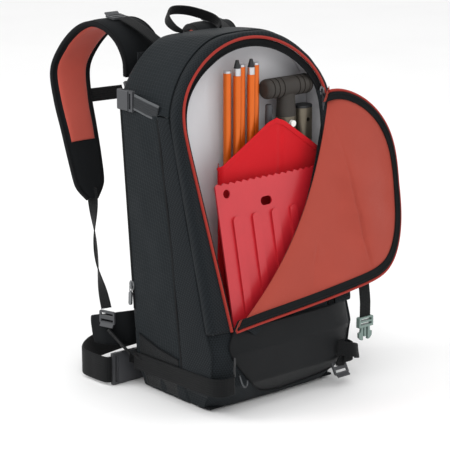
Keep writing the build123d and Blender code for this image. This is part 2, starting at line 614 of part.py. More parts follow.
def make_side_straps():
    """Lower and upper compression webbing on both sides, with the upper buckles."""
    straps, buckles = [], []
    for side in (-1, 1):
        knee = Vector(side * LOWER_LOCK[0], LOWER_LOCK[1], LOWER_LOCK[2])
        foot = Vector(side * (half_width(46) + 4), 83, 46)
        straps.append(ribbon([(tuple(knee + Vector(0, -1, -17.5)), STRAP_WEB, (0.3 * side, 1, 0)),
                              (tuple(foot), STRAP_WEB, (0, 1, 0.2)),
                              (tuple(foot + Vector(-side * 2, -24, -8)), STRAP_WEB, (0, 0.2, 1))], WEBBING))
        x = half_width(58) + 1.2
        straps.append(ribbon([((side * x, back_y(40) - 4, 40), 25, (0, 0, 1)), ((side * x, 0, 42), 25,
                (0, 0, 1)),
                              ((side * x, -100, 45), 25, (0, 0, 1)), ((side * (x - 3), -105.9, 45.5), 25,
                                      (0, 0, 1)),
                              ((side * (x - 16), -106.6, 46), 25, (0, 0, 1))], WEBBING))
        x = SHOULDER_HALF_WIDTH + 2.2
        straps.append(ribbon([((side * x, 0, 404), 22, (0, 0, 1)), ((side * (x + 0.5), 34, 411), 22,
                (0, 0, 1)),
                              ((side * (x + 3), 46, 413), 22, (0, 0, 1))], WEBBING))
        place = at((side * (x + 3.2), 48 + 32.6, 413), (0, 0, side), (side, 0, 0))
        buckles.append(place * buckle_socket(STRAP_WEB))
    save("side_straps", [s.solid() for s in straps])
    save("upper_side_buckles", [s.solid() for s in buckles])


def rod(points, radius):
    """A round cord or wire through points, with smooth bends."""
    path = Spline(*points)
    return sweep(Plane(origin=path @ 0, z_dir=path % 0) * Circle(radius), path=path)


def make_loops():
    """Ski loop, tool loops and the wire hook on the lower front."""
    x, y, z = SKI_LOOP
    save("ski_loop", ribbon([((x - 16, y + 1, z + 14), 20, (0, 0.2, 1)), ((x, y - 11, z + 12), 20,
            (0, 0.2, 1)),
                             ((x + 15, y - 8, z + 6), 20, (0, 0.2, 1)), ((x + 21.6, y + 7, z), 20,
                                     (0, 0.2, 1))], WEBBING + 0.4))
    save("tool_cord", rod(TOOL_CORD, 1.6))
    save("wire_hook", rod(WIRE_HOOK, 1.3))


# ---- tools ---------------------------------------------------------------------------------------

def oval(x, size, low, high, wall):
    """An oval tube standing upright at x."""
    def prism(cut, z0, z1):
        w, d = size[0] - 2 * cut, size[1] - 2 * cut
        return extrude(Plane.XY.offset(z0) * Pos(x, SHAFT_Y) * SlotOverall(w, d) if w > d + 0.1
                       else Plane.XY.offset(z0) * Pos(x, SHAFT_Y) * Circle(w / 2), amount=z1 - z0)
    return prism(0, low, high) - prism(wall, low - 1, high + 1)


def make_handle():
    """T-grip on the upper shaft with its push button, and the separate lower shaft."""
    base = SLEEVE_HEM[0][1] + SLEEVE_SHEET + 0.3
    x, z = UPPER_SHAFT_X, GRIP_Z
    neck = loft([Plane.XY.offset(UPPER_TOP + 0.1) * Pos(x, SHAFT_Y) * SlotOverall(*SHAFT),
                 Plane.XY.offset(z) * Pos(x, SHAFT_Y) * SlotOverall(24, 20)])
    bar = Pos(x, SHAFT_Y, z) * Rot(0, 90, 0) * Cylinder(GRIP_RADIUS, 2 * GRIP_HALF)
    bar = fillet(bar.edges(), 7)
    grip = neck + bar
    for i in (-1, 1):
        for k in range(3):
            ring = Pos(x + i * (14 + 9 * k), SHAFT_Y, z) * Rot(0, 90, 0) * (Cylinder(20, 2.4)
                    - Cylinder(GRIP_RADIUS - 1.2, 3))
            grip = grip - ring
    save("shovel_grip", grip)
    hole = Pos(x, SHAFT_Y - 10, BUTTON_Z) * Rot(90, 0, 0) * Cylinder(BUTTON_RADIUS + 0.3, 20)
    save("upper_shaft", oval(x, SHAFT, base, UPPER_TOP, SHAFT_WALL) - hole)
    face = SHAFT_Y - SHAFT[1] / 2
    save("push_button", Pos(x, face - 1.4, BUTTON_Z) * Rot(90, 0, 0) * Cylinder(BUTTON_RADIUS, 6))
    low = oval(LOWER_SHAFT_X, LOWER_SHAFT, base, LOWER_TOP, SHAFT_WALL)
    low = low - Pos(LOWER_SHAFT_X, SHAFT_Y - 10, LOWER_TOP - 16) * Rot(90, 0, 0) * Cylinder(3, 20)
    save("lower_shaft", low)
    cap = extrude(Plane.XY.offset(LOWER_TOP + 0.1) * Pos(LOWER_SHAFT_X, SHAFT_Y)
                  * SlotOverall(*LOWER_SHAFT), amount=4)
    save("shaft_cap", fillet(cap.edges().group_by(Axis.Z)[-1], 1.5))


def make_probe():
    """Five folded probe sections side by side, with ferrules, tips and the tension handle."""
    base = SLEEVE_HEM[0][1] + SLEEVE_SHEET + 0.3
    tubes, ferrules, tips = [], [], []
    for i, (dy, top) in enumerate(PROBE_SECTIONS):
        x, y = PROBE_X + PROBE_PITCH * i, PROBE_Y + dy
        low = base + 12
        tube = Pos(x, y, (low + top) / 2) * (Cylinder(PROBE_RADIUS, top - low) - Cylinder(PROBE_RADIUS
                - 0.9, top - low + 2))
        tubes.append(tube.solid())
        if i in PROBE_TIPS:
            ferrules.append((Pos(x, y, top + 5.1) * Cylinder(PROBE_RADIUS - 0.4, 10)).solid())
            tip = Pos(x, y, top + 10.2) * Cone(PROBE_RADIUS - 0.6, 2.2, 11, align=(Align.CENTER,
                    Align.CENTER, Align.MIN))
            tips.append(tip.solid())
        else:
            ferrules.append((Pos(x, y, top + 1.6) * Cylinder(PROBE_RADIUS - 0.4, 3)).solid())
    save("probe_tubes", tubes)
    save("probe_ferrules", ferrules)
    save("probe_tips", tips)
    x, y, top = PROBE_HANDLE
    handle = Pos(x, y, top) * Cylinder(5, 46, align=(Align.CENTER, Align.CENTER, Align.MAX))
    save("probe_handle", fillet(handle.edges().group_by(Axis.Z)[-1], 3))


def make_blade():
    """Stamped shovel blade with upright ribs, a serrated top edge and two holes."""
    half, top, low = BLADE_HALF_WIDTH, BLADE_TOP_V, BLADE_TOP_V - BLADE_HEIGHT
    points = [(-half + 10, low), (half - 10, low), (half, low + 30), (half, top - 6)]
    teeth = int(2 * half // 12)
    for i in range(teeth + 1):
        u = half - 4 - i * (2 * half - 8) / teeth
        points += [(u, top), (u - 4, top - 3)]
    points.append((-half, low + 30))
    outline = make_face(Polyline(*points, close=True))
    plane = FACE.offset(-BLADE_DEPTH) * Pos(BLADE_X, 0)
    blade = extrude(plane * outline, amount=-BLADE_THICK)
    for k in (-2, -1, 0, 1, 2):
        rib = Pos(k * 34, (top + low) / 2 - 14) * RectangleRounded(13, BLADE_HEIGHT - 66, 6)
        blade = blade + extrude(plane * rib, amount=BLADE_RIB)
    blade = blade - extrude(plane * Pos(-BLADE_X - 64, top - 15, 9) * Circle(6), amount=-30)
    blade = blade - extrude(plane * Pos(-BLADE_X + 3, top - 34, 9) * SlotOverall(20, 12), amount=-30)
    save("shovel_blade", blade)


MAKERS = (make_body, make_front_face, make_inside, make_flap, make_flap_strap, make_zips, make_back_panel,
          make_harness, make_sternum, make_hip_belt, make_haul_loop, make_side_straps, make_loops,
          make_handle, make_probe, make_blade)

os.makedirs(OUT, exist_ok=True)
for make in MAKERS:
    make()
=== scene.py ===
"""Ski touring backpack: fabric, foam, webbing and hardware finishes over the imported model."""

import math

import bmesh
import bpy
import numpy as np
from mathutils import Matrix, Vector


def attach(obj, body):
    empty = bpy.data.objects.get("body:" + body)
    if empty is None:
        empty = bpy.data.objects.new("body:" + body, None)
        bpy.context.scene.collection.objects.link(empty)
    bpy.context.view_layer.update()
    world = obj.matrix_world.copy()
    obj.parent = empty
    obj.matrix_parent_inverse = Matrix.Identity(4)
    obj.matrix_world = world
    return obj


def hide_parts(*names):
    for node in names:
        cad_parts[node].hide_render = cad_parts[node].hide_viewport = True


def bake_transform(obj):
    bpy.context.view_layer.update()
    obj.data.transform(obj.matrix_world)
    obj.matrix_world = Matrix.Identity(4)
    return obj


bl_info = {
    "name": "Ski Touring Backpack",
    "version": (1, 0, 0),
    "blender": (4, 5, 0),
    "location": "3D View > Sidebar > Backpack",
    "description": "Builds the sewn panels, straps, zips and finishes of a ski touring backpack",
    "category": "Add Mesh",
}

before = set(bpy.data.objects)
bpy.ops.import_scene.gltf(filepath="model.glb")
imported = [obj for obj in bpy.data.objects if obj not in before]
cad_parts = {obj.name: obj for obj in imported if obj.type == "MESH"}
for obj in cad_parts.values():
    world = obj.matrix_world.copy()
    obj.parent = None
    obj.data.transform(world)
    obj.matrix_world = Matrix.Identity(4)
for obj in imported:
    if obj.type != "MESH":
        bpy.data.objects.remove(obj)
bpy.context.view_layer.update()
MM = 0.001
SEED = 20

# Sizes of the sewn body in millimetres. X is across, +Y towards the wearer, +Z up.
BASE_HALF, WAIST_Z, WAIST_HALF = 112.0, 40.0, 124.0
SHOULDER_Z, SHOULDER_HALF, CROWN_Z = 400.0, 139.0, 503.0
FRONT_FOOT, FRONT_TOP = np.array((-95.0, 117.0)), np.array((-14.0, 499.0))
BACK_FOOT, BACK_TOP = np.array((79.0, 40.0)), np.array((93.0, 470.0))
CROWN_BACK = np.array((85.0, 487.0))
BULGE = np.array(((-70.0, 0.0), (-100.0, 40.0), (-105.0, 88.0), (-95.0, 117.0)))
ARCH_FOOT, ARCH_SHOULDER, ARCH_SHOULDER_V, ARCH_TOP_V = 93.0, 130.0, 300.0, 384.0
LEAN = math.atan2(FRONT_TOP[0] - FRONT_FOOT[0], FRONT_TOP[1] - FRONT_FOOT[1])
FOLD_A, FOLD_B = np.array((-93.0, 0.0)), np.array((130.0, 302.0))
FOLD_LIFT, FOLD_SWING = 6.0, math.radians(4.0)
FOLD_BOW = 33.0                                   # furthest that the fold stands off the crease
PANEL_FALL, PANEL_LEAN, PANEL_PULL = 52.0, 22.0, 16.0   # droop, lean and inward pull of its far corner
DIVIDER_Y = 10.0
SEAM_BEHIND_FACE, SEAM_BEHIND_BULGE, EDGE_ROUND, SIDE_STAND = 15.0, 13.0, 13.0, 4.5
LOWER_PANEL_EDGE = np.array(((-93, 117), (-101, 86), (-51, 28), (-9, 13), (33, 14), (97, 21), (110, 31),
                             (118, 79)), float)
SLEEVE_HEM, SLEEVE_FOOT_Z = np.array(((-60.0, 322.0), (39.0, 383.0), (120.0, 326.0))), 100.0

# Straps: webbing sizes, and stations of the belt (X, Y), of a wing, strap or loop (X, Y, Z, width).
WEB, WEB_THICK, CORD_THICK, BELT_Z = 20, 1.8, 3.2, 23.5
BELT_RING = np.array(((-149.6, 101), (-156, 105), (-159, 130), (-155, 162), (-118, 194), (-67, 208), (0, 214),
                      (80, 206), (140, 186), (160, 150), (158, 118), (142, 106), (92, 101)), float)
WING = np.array(((98, 98, 78, 50), (122, 104, 78, 50), (141, 122, 76, 46), (147, 145, 72, 40)), float)
STRAP_PATH = np.array(((70, 121.5, 432, 66), (71, 123, 456, 66), (74, 135, 480, 67), (79, 156, 496, 68),
                       (84, 182, 499, 68), (91, 208, 487, 68), (100, 232, 460, 66), (110, 241, 428, 64),
                       (119, 224, 390, 60), (126, 201, 352, 56), (132, 180, 314, 52), (137, 163, 282, 46),
                       (140, 152, 260, 34)), float)
KNEE = np.array((147.0, 112.0, 97.0))             # where the adjuster webbing meets its lock
HAUL_LOOP = np.array(((-34, 80, 492, 5), (-40, 92, 497, 11), (-36, 112, 506, 15), (-18, 127, 514, 15),
                      (10, 124, 512, 15), (34, 106, 503, 15), (39, 92, 497, 11), (33, 80, 492, 5)), float)
TOOL_CORD = ((-99.0, -106.7, 84.0), (-101.5, -110.5, 79.0), (-104.0, -112.0, 72.0), (-103.5, -112.0, 65.0),
             (-100.0, -108.5, 60.0), (-97.0, -104.4, 58.0))

# Stage, in metres: what the camera looks at (across, up), the width that it takes in, and the lamps.
AIM, VIEW_WIDTH = (-0.020, 0.2207), 0.638
LAMPS = (("key_light", (-1.5, -2.2, 2.4), 20, 1.0), ("fill_light", (1.9, -1.7, 1.5), 6, 1.6),
         ("rim_light", (-1.9, 1.2, 1.9), 24, 1.0), ("top_light", (0.0, -0.2, 3.0), 10, 2.0))


# ---- curves and surfaces -----------------------------------------------------------------------

def face_y(z):
    """Depth of the leaning front face: a straight line in height."""
    return FRONT_FOOT[0] + (z - FRONT_FOOT[1]) * math.tan(LEAN)


def back_y(z):
    """Depth of the back face: a straight line in height."""
    return BACK_FOOT[0] + (z - BACK_FOOT[1]) * (BACK_TOP[0] - BACK_FOOT[0]) / (BACK_TOP[1] - BACK_FOOT[1])


def half_width(z):
    """Half the body's width: two straight runs that meet at the waist."""
    up = WAIST_HALF + (z - WAIST_Z) / (SHOULDER_Z - WAIST_Z) * (SHOULDER_HALF - WAIST_HALF)
    low = BASE_HALF + z / WAIST_Z * (WAIST_HALF - BASE_HALF)
    return np.where(z > WAIST_Z, up, low)


def crown_radius():
    """Radius of the crown's circle, from its chord at the shoulder and its rise."""
    rise = CROWN_Z - SHOULDER_Z
    return (SHOULDER_HALF * SHOULDER_HALF + rise * rise) / (2 * rise)


def outline_half(z, least):
    """Half of the body's width at a height: the straight side, or the crown's circle above the
    shoulder. least is the smallest square that the circle's half width may have."""
    radius = crown_radius()
    circle = np.sqrt(np.maximum(radius**2 - (z - CROWN_Z + radius) ** 2, least))
    return np.where(z > SHOULDER_Z, circle, half_width(z))


def bulge_y(z):
    """Depth of the rounded lower front, interpolated through its four heights."""
    return np.interp(z, BULGE[:, 1], BULGE[:, 0])


def on_face(u, v, h):
    """Point of the front face frame: across, up the lean and out along the face's normal."""
    s, c = math.sin(LEAN), math.cos(LEAN)
    return np.stack(np.broadcast_arrays(u, FRONT_FOOT[0] + v * s - h * c, FRONT_FOOT[1] + v * c + h * s), -1)


def resample(points, count):
    """Points spread evenly by length along a polyline."""
    points = np.asarray(points, float)
    run = np.concatenate(([0.0], np.cumsum(np.linalg.norm(np.diff(points, axis=0), axis=1))))
    at = np.linspace(0.0, run[-1], count)
    return np.stack([np.interp(at, run, points[:, k]) for k in range(points.shape[1])], -1)


def soften(points, passes):
    """Repeated three-point averages with the ends held, which round off the corners."""
    points = np.array(points, float)
    for _ in range(passes):
        points[1:-1] = 0.25 * points[:-2] + 0.5 * points[1:-1] + 0.25 * points[2:]
    return points


def smooth_path(points, count):
    """Catmull-Rom curve through the points, then evened out by length."""
    p = np.asarray(points, float)
    p = np.vstack((2 * p[0] - p[1], p, 2 * p[-1] - p[-2]))
    t = np.linspace(0.0, 1.0, 16, endpoint=False)[:, None]
    runs = []
    for a, b, c, d in zip(p, p[1:], p[2:], p[3:]):
        runs.append(0.5 * (2 * b + (c - a) * t + (2 * a - 5 * b + 4 * c - d) * t**2 + (3 * b - a - 3 * c + d)
                           * t**3))
    return resample(np.vstack(runs + [p[-2][None]]), count)


def ripple(points, size, seed, scale=0.02):
    """Smooth pseudo-random height: a sum of eight sine waves in fixed seeded directions."""
    rng = np.random.default_rng(SEED + seed)
    total = np.zeros(points.shape[:-1])
    for _ in range(8):
        way = rng.normal(size=3)
        run = points @ (way / np.linalg.norm(way)) * scale * rng.uniform(0.7, 2.4) * 2 * math.pi
        total += np.sin(run + rng.uniform(0, 6.3))
    return size * total / 4.0


def grid_normals(p):
    """Unit normals of a grid: the cross product of its two directions of travel."""
    n = np.cross(np.gradient(p, axis=0), np.gradient(p, axis=1))
    return n / np.maximum(np.linalg.norm(n, axis=-1, keepdims=True), 1e-9)


def arch_curve(count, grow=0.0):
    """Opening outline from the left foot over the top to the right foot, in face coordinates."""
    w, v1, v2 = ARCH_SHOULDER, ARCH_SHOULDER_V, ARCH_TOP_V
    radius = (w * w + (v2 - v1) ** 2) / (2 * (v2 - v1))
    a = math.asin(w / radius)
    t = np.linspace(-a, a, 120)
    top = np.stack((radius * np.sin(t), v2 - radius + radius * np.cos(t)), -1)
    points = np.vstack(([[-ARCH_FOOT, 0.0]], top, [[ARCH_FOOT, 0.0]]))
    points = soften(resample(points, 400), 260)
    step = np.gradient(points, axis=0)
    out = np.stack((-step[:, 1], step[:, 0]), -1)
    out /= np.linalg.norm(out, axis=1, keepdims=True)
    return resample(points + out * grow, count)


def front_outline(count):
    """Body outline above the opening's foot: straight sides under a round crown."""
    radius = crown_radius()
    a = math.asin(SHOULDER_HALF / radius)
    t = np.linspace(-a, a, 120)
    top = np.stack((radius * np.sin(t), CROWN_Z - radius + radius * np.cos(t)), -1)
    foot = float(half_width(np.array(FRONT_FOOT[1])))
    points = np.vstack(([[-foot, FRONT_FOOT[1]]], top, [[foot, FRONT_FOOT[1]]]))
    return resample(soften(resample(points, 400), 60), count)


def place_mesh(name, mesh):
    """Links a mesh or curve to the scene as an object at the origin."""
    obj = bpy.data.objects.new(name, mesh)
    bpy.context.scene.collection.objects.link(obj)
    return obj


def add_mesh(name, verts, faces, uv):
    """A smooth mesh object from arrays in millimetres, with its cloth UV map in metres."""
    mesh = bpy.data.meshes.new(name)
    mesh.from_pydata((verts * MM).tolist(), [], faces)
    loops = np.empty(len(mesh.loops), dtype=np.int64)
    mesh.loops.foreach_get("vertex_index", loops)
    mesh.uv_layers.new(name="cloth").data.foreach_set("uv", (uv[loops] * MM).ravel())
    mesh.polygons.foreach_set("use_smooth", np.full(len(mesh.polygons), True))
    mesh.update()
    return place_mesh(name, mesh)


def lattice(x, y, z):
    """Grid of points from three coordinates that broadcast together."""
    return np.stack(np.broadcast_arrays(x, y, z), -1)


def grid_faces(n, m, closed=False):
    """Quads of an n by m grid of points; closed joins the last column to the first."""
    cols = m if closed else m - 1
    i, j = np.meshgrid(np.arange(n - 1), np.arange(cols), indexing="ij")
    k = (j + 1) % m
    return np.stack((i * m + j, (i + 1) * m + j, (i + 1) * m + k, i * m + k), -1).reshape(-1, 4)


def sheet(name, p, flip=False, thick=0.0, back=None):
    """Cloth surface on a grid of points. With thickness it becomes a closed slab: an outer
    grid, an inner grid moved in along the normals, and a border that joins them."""
    n, m = p.shape[:2]
    down = np.cumsum(np.linalg.norm(np.diff(p, axis=0), axis=-1), axis=0)
    along = np.cumsum(np.linalg.norm(np.diff(p, axis=1), axis=-1), axis=1)
    run_u = np.concatenate((np.zeros((1, m)), down))
    run_v = np.concatenate((np.zeros((n, 1)), along), axis=1)
    uv = np.stack((run_v, run_u), -1).reshape(-1, 2)
    faces = grid_faces(n, m)
    if flip:
        faces = faces[:, ::-1]
    if thick == 0.0:
        return add_mesh(name, p.reshape(-1, 3), faces.tolist(), uv)
    normal = grid_normals(p) * (-1.0 if flip else 1.0)
    inner = p - normal * thick if back is None else back
    total = n * m
    rim = np.concatenate((np.arange(m - 1), np.arange(n - 1) * m + m - 1, total - 1 - np.arange(m - 1),
                          (np.arange(n - 1, 0, -1)) * m))
    nxt = np.roll(rim, -1)
    side = np.stack((rim, nxt, nxt + total, rim + total), -1)
    if not flip:
        side = side[:, ::-1]
    verts = np.vstack((p.reshape(-1, 3), inner.reshape(-1, 3)))
    all_faces = np.vstack((faces, faces[:, ::-1] + total, side[:, ::-1]))
    return face_outwards(add_mesh(name, verts, all_faces.tolist(), np.vstack((uv, uv))))


def cloth_area(obj):
    """Area of one side of a thin closed cloth, in square metres."""
    area = np.empty(len(obj.data.polygons))
    obj.data.polygons.foreach_get("area", area)
    return float(area.sum()) / 2.0


def face_outwards(obj):
    """Turns every face of a closed mesh to point outwards."""
    work = bmesh.new()
    work.from_mesh(obj.data)
    bmesh.ops.recalc_face_normals(work, faces=work.faces)
    work.to_mesh(obj.data)
    work.free()
    return obj


def travel(path):
    """Unit direction of travel at each point of a path."""
    ahead = np.gradient(path, axis=0)
    return ahead / np.linalg.norm(ahead, axis=1, keepdims=True)


def carry(name, path, across, profile):
    """Closed profile carried along a path. Each ring is path + across * a + normal * b, where
    the normal is the path's direction crossed with the across direction. Fans close its ends."""
    path, across = np.asarray(path, float), np.asarray(across, float)
    ahead = travel(path)
    normal = np.cross(ahead, across)
    normal /= np.linalg.norm(normal, axis=1, keepdims=True)
    side = np.cross(normal, ahead)
    profile = np.asarray(profile, float)
    if profile.ndim == 2:
        profile = np.broadcast_to(profile, (len(path),) + profile.shape)
    rings = path[:, None] + side[:, None] * profile[..., :1] + normal[:, None] * profile[..., 1:]
    n, m = rings.shape[:2]
    run = np.concatenate(([0.0], np.cumsum(np.linalg.norm(np.diff(path, axis=0), axis=1))))
    uv = np.stack(np.broadcast_arrays(profile[..., 0], run[:, None]), -1).reshape(-1, 2)
    verts = np.vstack((rings.reshape(-1, 3), rings[0].mean(0), rings[-1].mean(0)))
    uv = np.vstack((uv, [[0.0, 0.0]], [[0.0, run[-1]]]))
    j = np.arange(m)
    k = (j + 1) % m
    first = np.stack((j, k, np.full(m, n * m)), -1)
    last = np.stack(((n - 1) * m + k, (n - 1) * m + j, np.full(m, n * m + 1)), -1)
    faces = grid_faces(n, m, closed=True).tolist() + first.tolist() + last.tolist()
    return face_outwards(add_mesh(name, verts, faces, uv))


def flat_profile(width, thick, count=6, corner=0.42):
    """Rounded strip: two straight faces joined by half-round edges."""
    r = thick * corner
    a = np.linspace(-math.pi / 2, math.pi / 2, count)
    right = np.stack((width / 2 - r + r * np.cos(a), (thick / 2) * np.sin(a)), -1)
    top = np.stack((np.linspace(width / 2 - r, -width / 2 + r, 7)[1:-1], np.full(5, thick / 2)), -1)
    return np.vstack((right, top, -right, -top))


def round_profile(radius, count):
    """Circle of the given radius."""
    a = np.linspace(0, 2 * math.pi, count, endpoint=False)
    return np.stack((radius * np.cos(a), radius * np.sin(a)), -1)


def pad_profile(width, thick, count=28, power=3.2):
    """Padded strip: a superellipse, so its faces are crowned and its edges are round."""
    a = np.linspace(0, 2 * math.pi, count, endpoint=False)
    c, s = np.cos(a), np.sin(a)
    across = width / 2 * np.sign(c) * np.abs(c) ** (2 / power)
    return np.stack((across, thick / 2 * np.sign(s) * np.abs(s) ** (2 / 2.2)), -1)


def join(name, parts):
    """Joins mesh objects into the first one and names it."""
    verts, faces, uvs, base = [], [], [], 0
    for obj in parts:
        mesh = obj.data
        co = np.empty(len(mesh.vertices) * 3)
        mesh.vertices.foreach_get("co", co)
        verts.append(co.reshape(-1, 3))
        faces += [[v + base for v in poly.vertices] for poly in mesh.polygons]
        uv = np.empty(len(mesh.loops) * 2)
        mesh.uv_layers[0].data.foreach_get("uv", uv)
        uvs.append(uv)
        base += len(mesh.vertices)
        bpy.data.objects.remove(obj)
        bpy.data.meshes.remove(mesh)
    mesh = bpy.data.meshes.new(name)
    mesh.from_pydata(np.vstack(verts).tolist(), [], faces)
    mesh.uv_layers.new(name="cloth").data.foreach_set("uv", np.concatenate(uvs))
    mesh.polygons.foreach_set("use_smooth", np.full(len(mesh.polygons), True))
    return place_mesh(name, mesh)


# ---- finishes ----------------------------------------------------------------------------------

class Sock:
    """A shader socket or number that takes part in expressions; each operator adds a Math node."""

    def __init__(self, tree, link):
        self.tree, self.link = tree, link

    def math(self, operation, *others):
        """Math node with this socket as its first input."""
        node = self.tree.nodes.new("ShaderNodeMath")
        node.operation = operation
        for slot, value in zip(node.inputs, (self, *others)):
            if isinstance(value, Sock):
                self.tree.links.new(value.link, slot)
            else:
                slot.default_value = value
        return Sock(self.tree, node.outputs[0])

    def flipped(self, operation, other):
        """Math node with a number as its first input and this socket as its second."""
        node = self.tree.nodes.new("ShaderNodeMath")
        node.operation = operation
        node.inputs[0].default_value = other
        self.tree.links.new(self.link, node.inputs[1])
        return Sock(self.tree, node.outputs[0])

    def __add__(self, other):
        return self.math("ADD", other)

    def __radd__(self, other):
        return self.math("ADD", other)

    def __sub__(self, other):
        return self.math("SUBTRACT", other)

    def __rsub__(self, other):
        return self.flipped("SUBTRACT", other)

    def __mul__(self, other):
        return self.math("MULTIPLY", other)

    def __rmul__(self, other):
        return self.math("MULTIPLY", other)

    def __truediv__(self, other):
        return self.math("DIVIDE", other)

    def __pow__(self, other):
        return self.math("POWER", other)

    def wave(self, pitch):
        """Sine of the value with the given pitch, from 0 to 1."""
        return (self * (2 * math.pi / pitch)).math("SINE") * 0.5 + 0.5

    def clamp(self):
        """The value held between 0 and 1."""
        return self.math("MAXIMUM", 0.0).math("MINIMUM", 1.0)

    def step(self, edge, soft):
        """Rises from 0 to 1 across an edge of the given softness."""
        return ((self - edge) / soft + 0.5).clamp()


class Finish:
    """A node material with one Principled shader and one method for every other node."""

    def __init__(self, name, **constants):
        self.material = bpy.data.materials.new(name)
        self.material.use_nodes = True
        self.tree = self.material.node_tree
        self.shader = self.tree.nodes["Principled BSDF"]
        for key, value in constants.items():
            self.shader.inputs[key.replace("_", " ")].default_value = value

    def node(self, kind, settings=None, inputs=None, output=0):
        """Any node: its settings or a ramp's stops first, then the values or links of its sockets."""
        node = self.tree.nodes.new(kind)
        for key, value in (settings or {}).items():
            if key == "stops":
                ramp = node.color_ramp
                while len(ramp.elements) < len(value):
                    ramp.elements.new(0.5)
                for element, (place, colour) in zip(ramp.elements, value):
                    element.position, element.color = place, (*colour, 1.0)
            else:
                setattr(node, key, value)
        for key, value in (inputs or {}).items():
            if isinstance(value, Sock):
                self.tree.links.new(value.link, node.inputs[key])
            else:
                node.inputs[key].default_value = value
        return Sock(self.tree, node.outputs[output])

    def place(self):
        """Object coordinates."""
        return self.node("ShaderNodeTexCoord", output=3)

    def cloth_uv(self):
        """Distances across and along the cloth, in metres."""
        return self.node("ShaderNodeUVMap", {"uv_map": "cloth"})

    def split(self, vector):
        """The three parts of a vector."""
        node = self.tree.nodes.new("ShaderNodeSeparateXYZ")
        self.tree.links.new(vector.link, node.inputs[0])
        return [Sock(self.tree, out) for out in node.outputs]

    def noise(self, scale, detail=3.0, rough=0.55, vector=None):
        """Noise from 0 to 1, on Object coordinates unless a vector is given."""
        inputs = {"Vector": vector or self.place(), "Scale": scale, "Detail": detail, "Roughness": rough}
        return self.node("ShaderNodeTexNoise", None, inputs)

    def mix(self, share, low, high):
        """Colour between low and high by share."""
        inputs = {0: share}
        for key, value in ((6, low), (7, high)):
            inputs[key] = value if isinstance(value, Sock) else (*value, 1.0)
        return self.node("ShaderNodeMix", {"data_type": "RGBA"}, inputs, output=2)

    def set(self, key, value):
        """Value or link of one of the shader's sockets."""
        if isinstance(value, Sock):
            self.tree.links.new(value.link, self.shader.inputs[key])
        else:
            self.shader.inputs[key].default_value = value

    def bump(self, height, strength):
        """Relief from a height in metres."""
        inputs = {"Height": height, "Distance": 1.0, "Strength": strength}
        self.set("Normal", self.node("ShaderNodeBump", None, inputs))


def srgb(r, g, b):
    """Linear colour of an 8-bit one."""
    c = np.array((r, g, b)) / 255.0
    return tuple(float(x) for x in np.where(c > 0.04045, ((c + 0.055) / 1.055) ** 2.4, c / 12.92))


def shade(colour, gain):
    """Colour made darker or lighter by a factor."""
    return tuple(min(1.0, c * gain) for c in colour)


def cloth_finish(name, colour, weave=0.0009, rough=0.82, sheen=0.25, soft=0.16, fold=0.0006):
    """Plain-weave cloth: crossed threads, faint blotches and creases."""
    f = Finish(name, Sheen_Weight=sheen * 0.4, Sheen_Roughness=0.45, Specular_IOR_Level=0.13)
    across, along, _ = f.split(f.cloth_uv())
    threads = across.wave(weave) * along.wave(weave)
    blotch = f.noise(28.0, 4.0)
    creases = f.noise(75.0, 5.0, 0.62)
    f.set("Base Color", f.mix(blotch * 0.8 + threads * 0.25, shade(colour, 1 - soft), shade(colour, 1 + soft)))
    f.set("Roughness", threads * -0.08 + rough + blotch * 0.06)
    f.bump(threads * 0.00022 + creases * fold, 0.6)
    return f.material


def ripstop_finish(name, colour):
    """Dark nylon with a raised square grid of thicker yarns."""
    f = Finish(name, Sheen_Weight=0.03, Sheen_Roughness=0.4, Specular_IOR_Level=0.13)
    across, along, _ = f.split(f.cloth_uv())
    pitch = 0.0052
    grid = across.wave(pitch) ** 14.0 + along.wave(pitch) ** 14.0
    fine = across.wave(0.0011) * along.wave(0.0011)
    blotch = f.noise(22.0, 4.0)
    tone = (blotch * 0.55 + grid * 0.35 + fine * 0.15).clamp()
    f.set("Base Color", f.mix(tone, shade(colour, 0.72), shade(colour, 1.5)))
    f.set("Roughness", 0.72 - grid * 0.1)
    f.bump(grid * 0.00035 + fine * 0.0001 + f.noise(60.0, 5.0) * 0.0006, 0.7)
    return f.material


def honeycomb_finish(name, colour, cell=0.0034):
    """Knitted panel of small hexagon-like cells: three sine waves at 60 degrees."""
    f = Finish(name, Sheen_Weight=0.03, Sheen_Roughness=0.5, Specular_IOR_Level=0.13)
    across, along, _ = f.split(f.cloth_uv())
    a = along.wave(cell)
    b = (across * 0.866 + along * 0.5).wave(cell)
    c = (across * 0.866 - along * 0.5).wave(cell)
    cells = ((a + b + c) * 0.6 - 0.35).clamp()
    blotch = f.noise(20.0, 3.0)
    f.set("Base Color", f.mix((cells * 0.8 + blotch * 0.2).clamp(), shade(colour, 0.55), shade(colour, 1.55)))
    f.set("Roughness", 0.85 - cells * 0.15)
    f.bump(cells * 0.0005 + f.noise(55.0, 4.0) * 0.0004, 0.75)
    return f.material


def webbing_finish(name, colour, edge=None, width=0.02):
    """Woven strap: ribs across its run, two rows of darker yarn, and lighter selvedges if asked."""
    f = Finish(name, Sheen_Weight=0.05, Sheen_Roughness=0.4, Specular_IOR_Level=0.13)
    across, along, _ = f.split(f.cloth_uv())
    ribs = (along + across.wave(0.0032) * 0.0005).wave(0.0021)
    rows = across.wave(0.0032)
    tone = (ribs * 0.5 + rows * 0.3 + f.noise(60.0) * 0.3).clamp()
    colours = f.mix(tone, shade(colour, 0.65), shade(colour, 1.45))
    if edge:
        rim = across.math("ABSOLUTE").step(width * 0.36, 0.0012)
        colours = f.mix(rim, colours, edge)
    f.set("Base Color", colours)
    f.set("Roughness", 0.78 - ribs * 0.12)
    f.bump(ribs * 0.0004 + rows * 0.00025, 0.8)
    return f.material


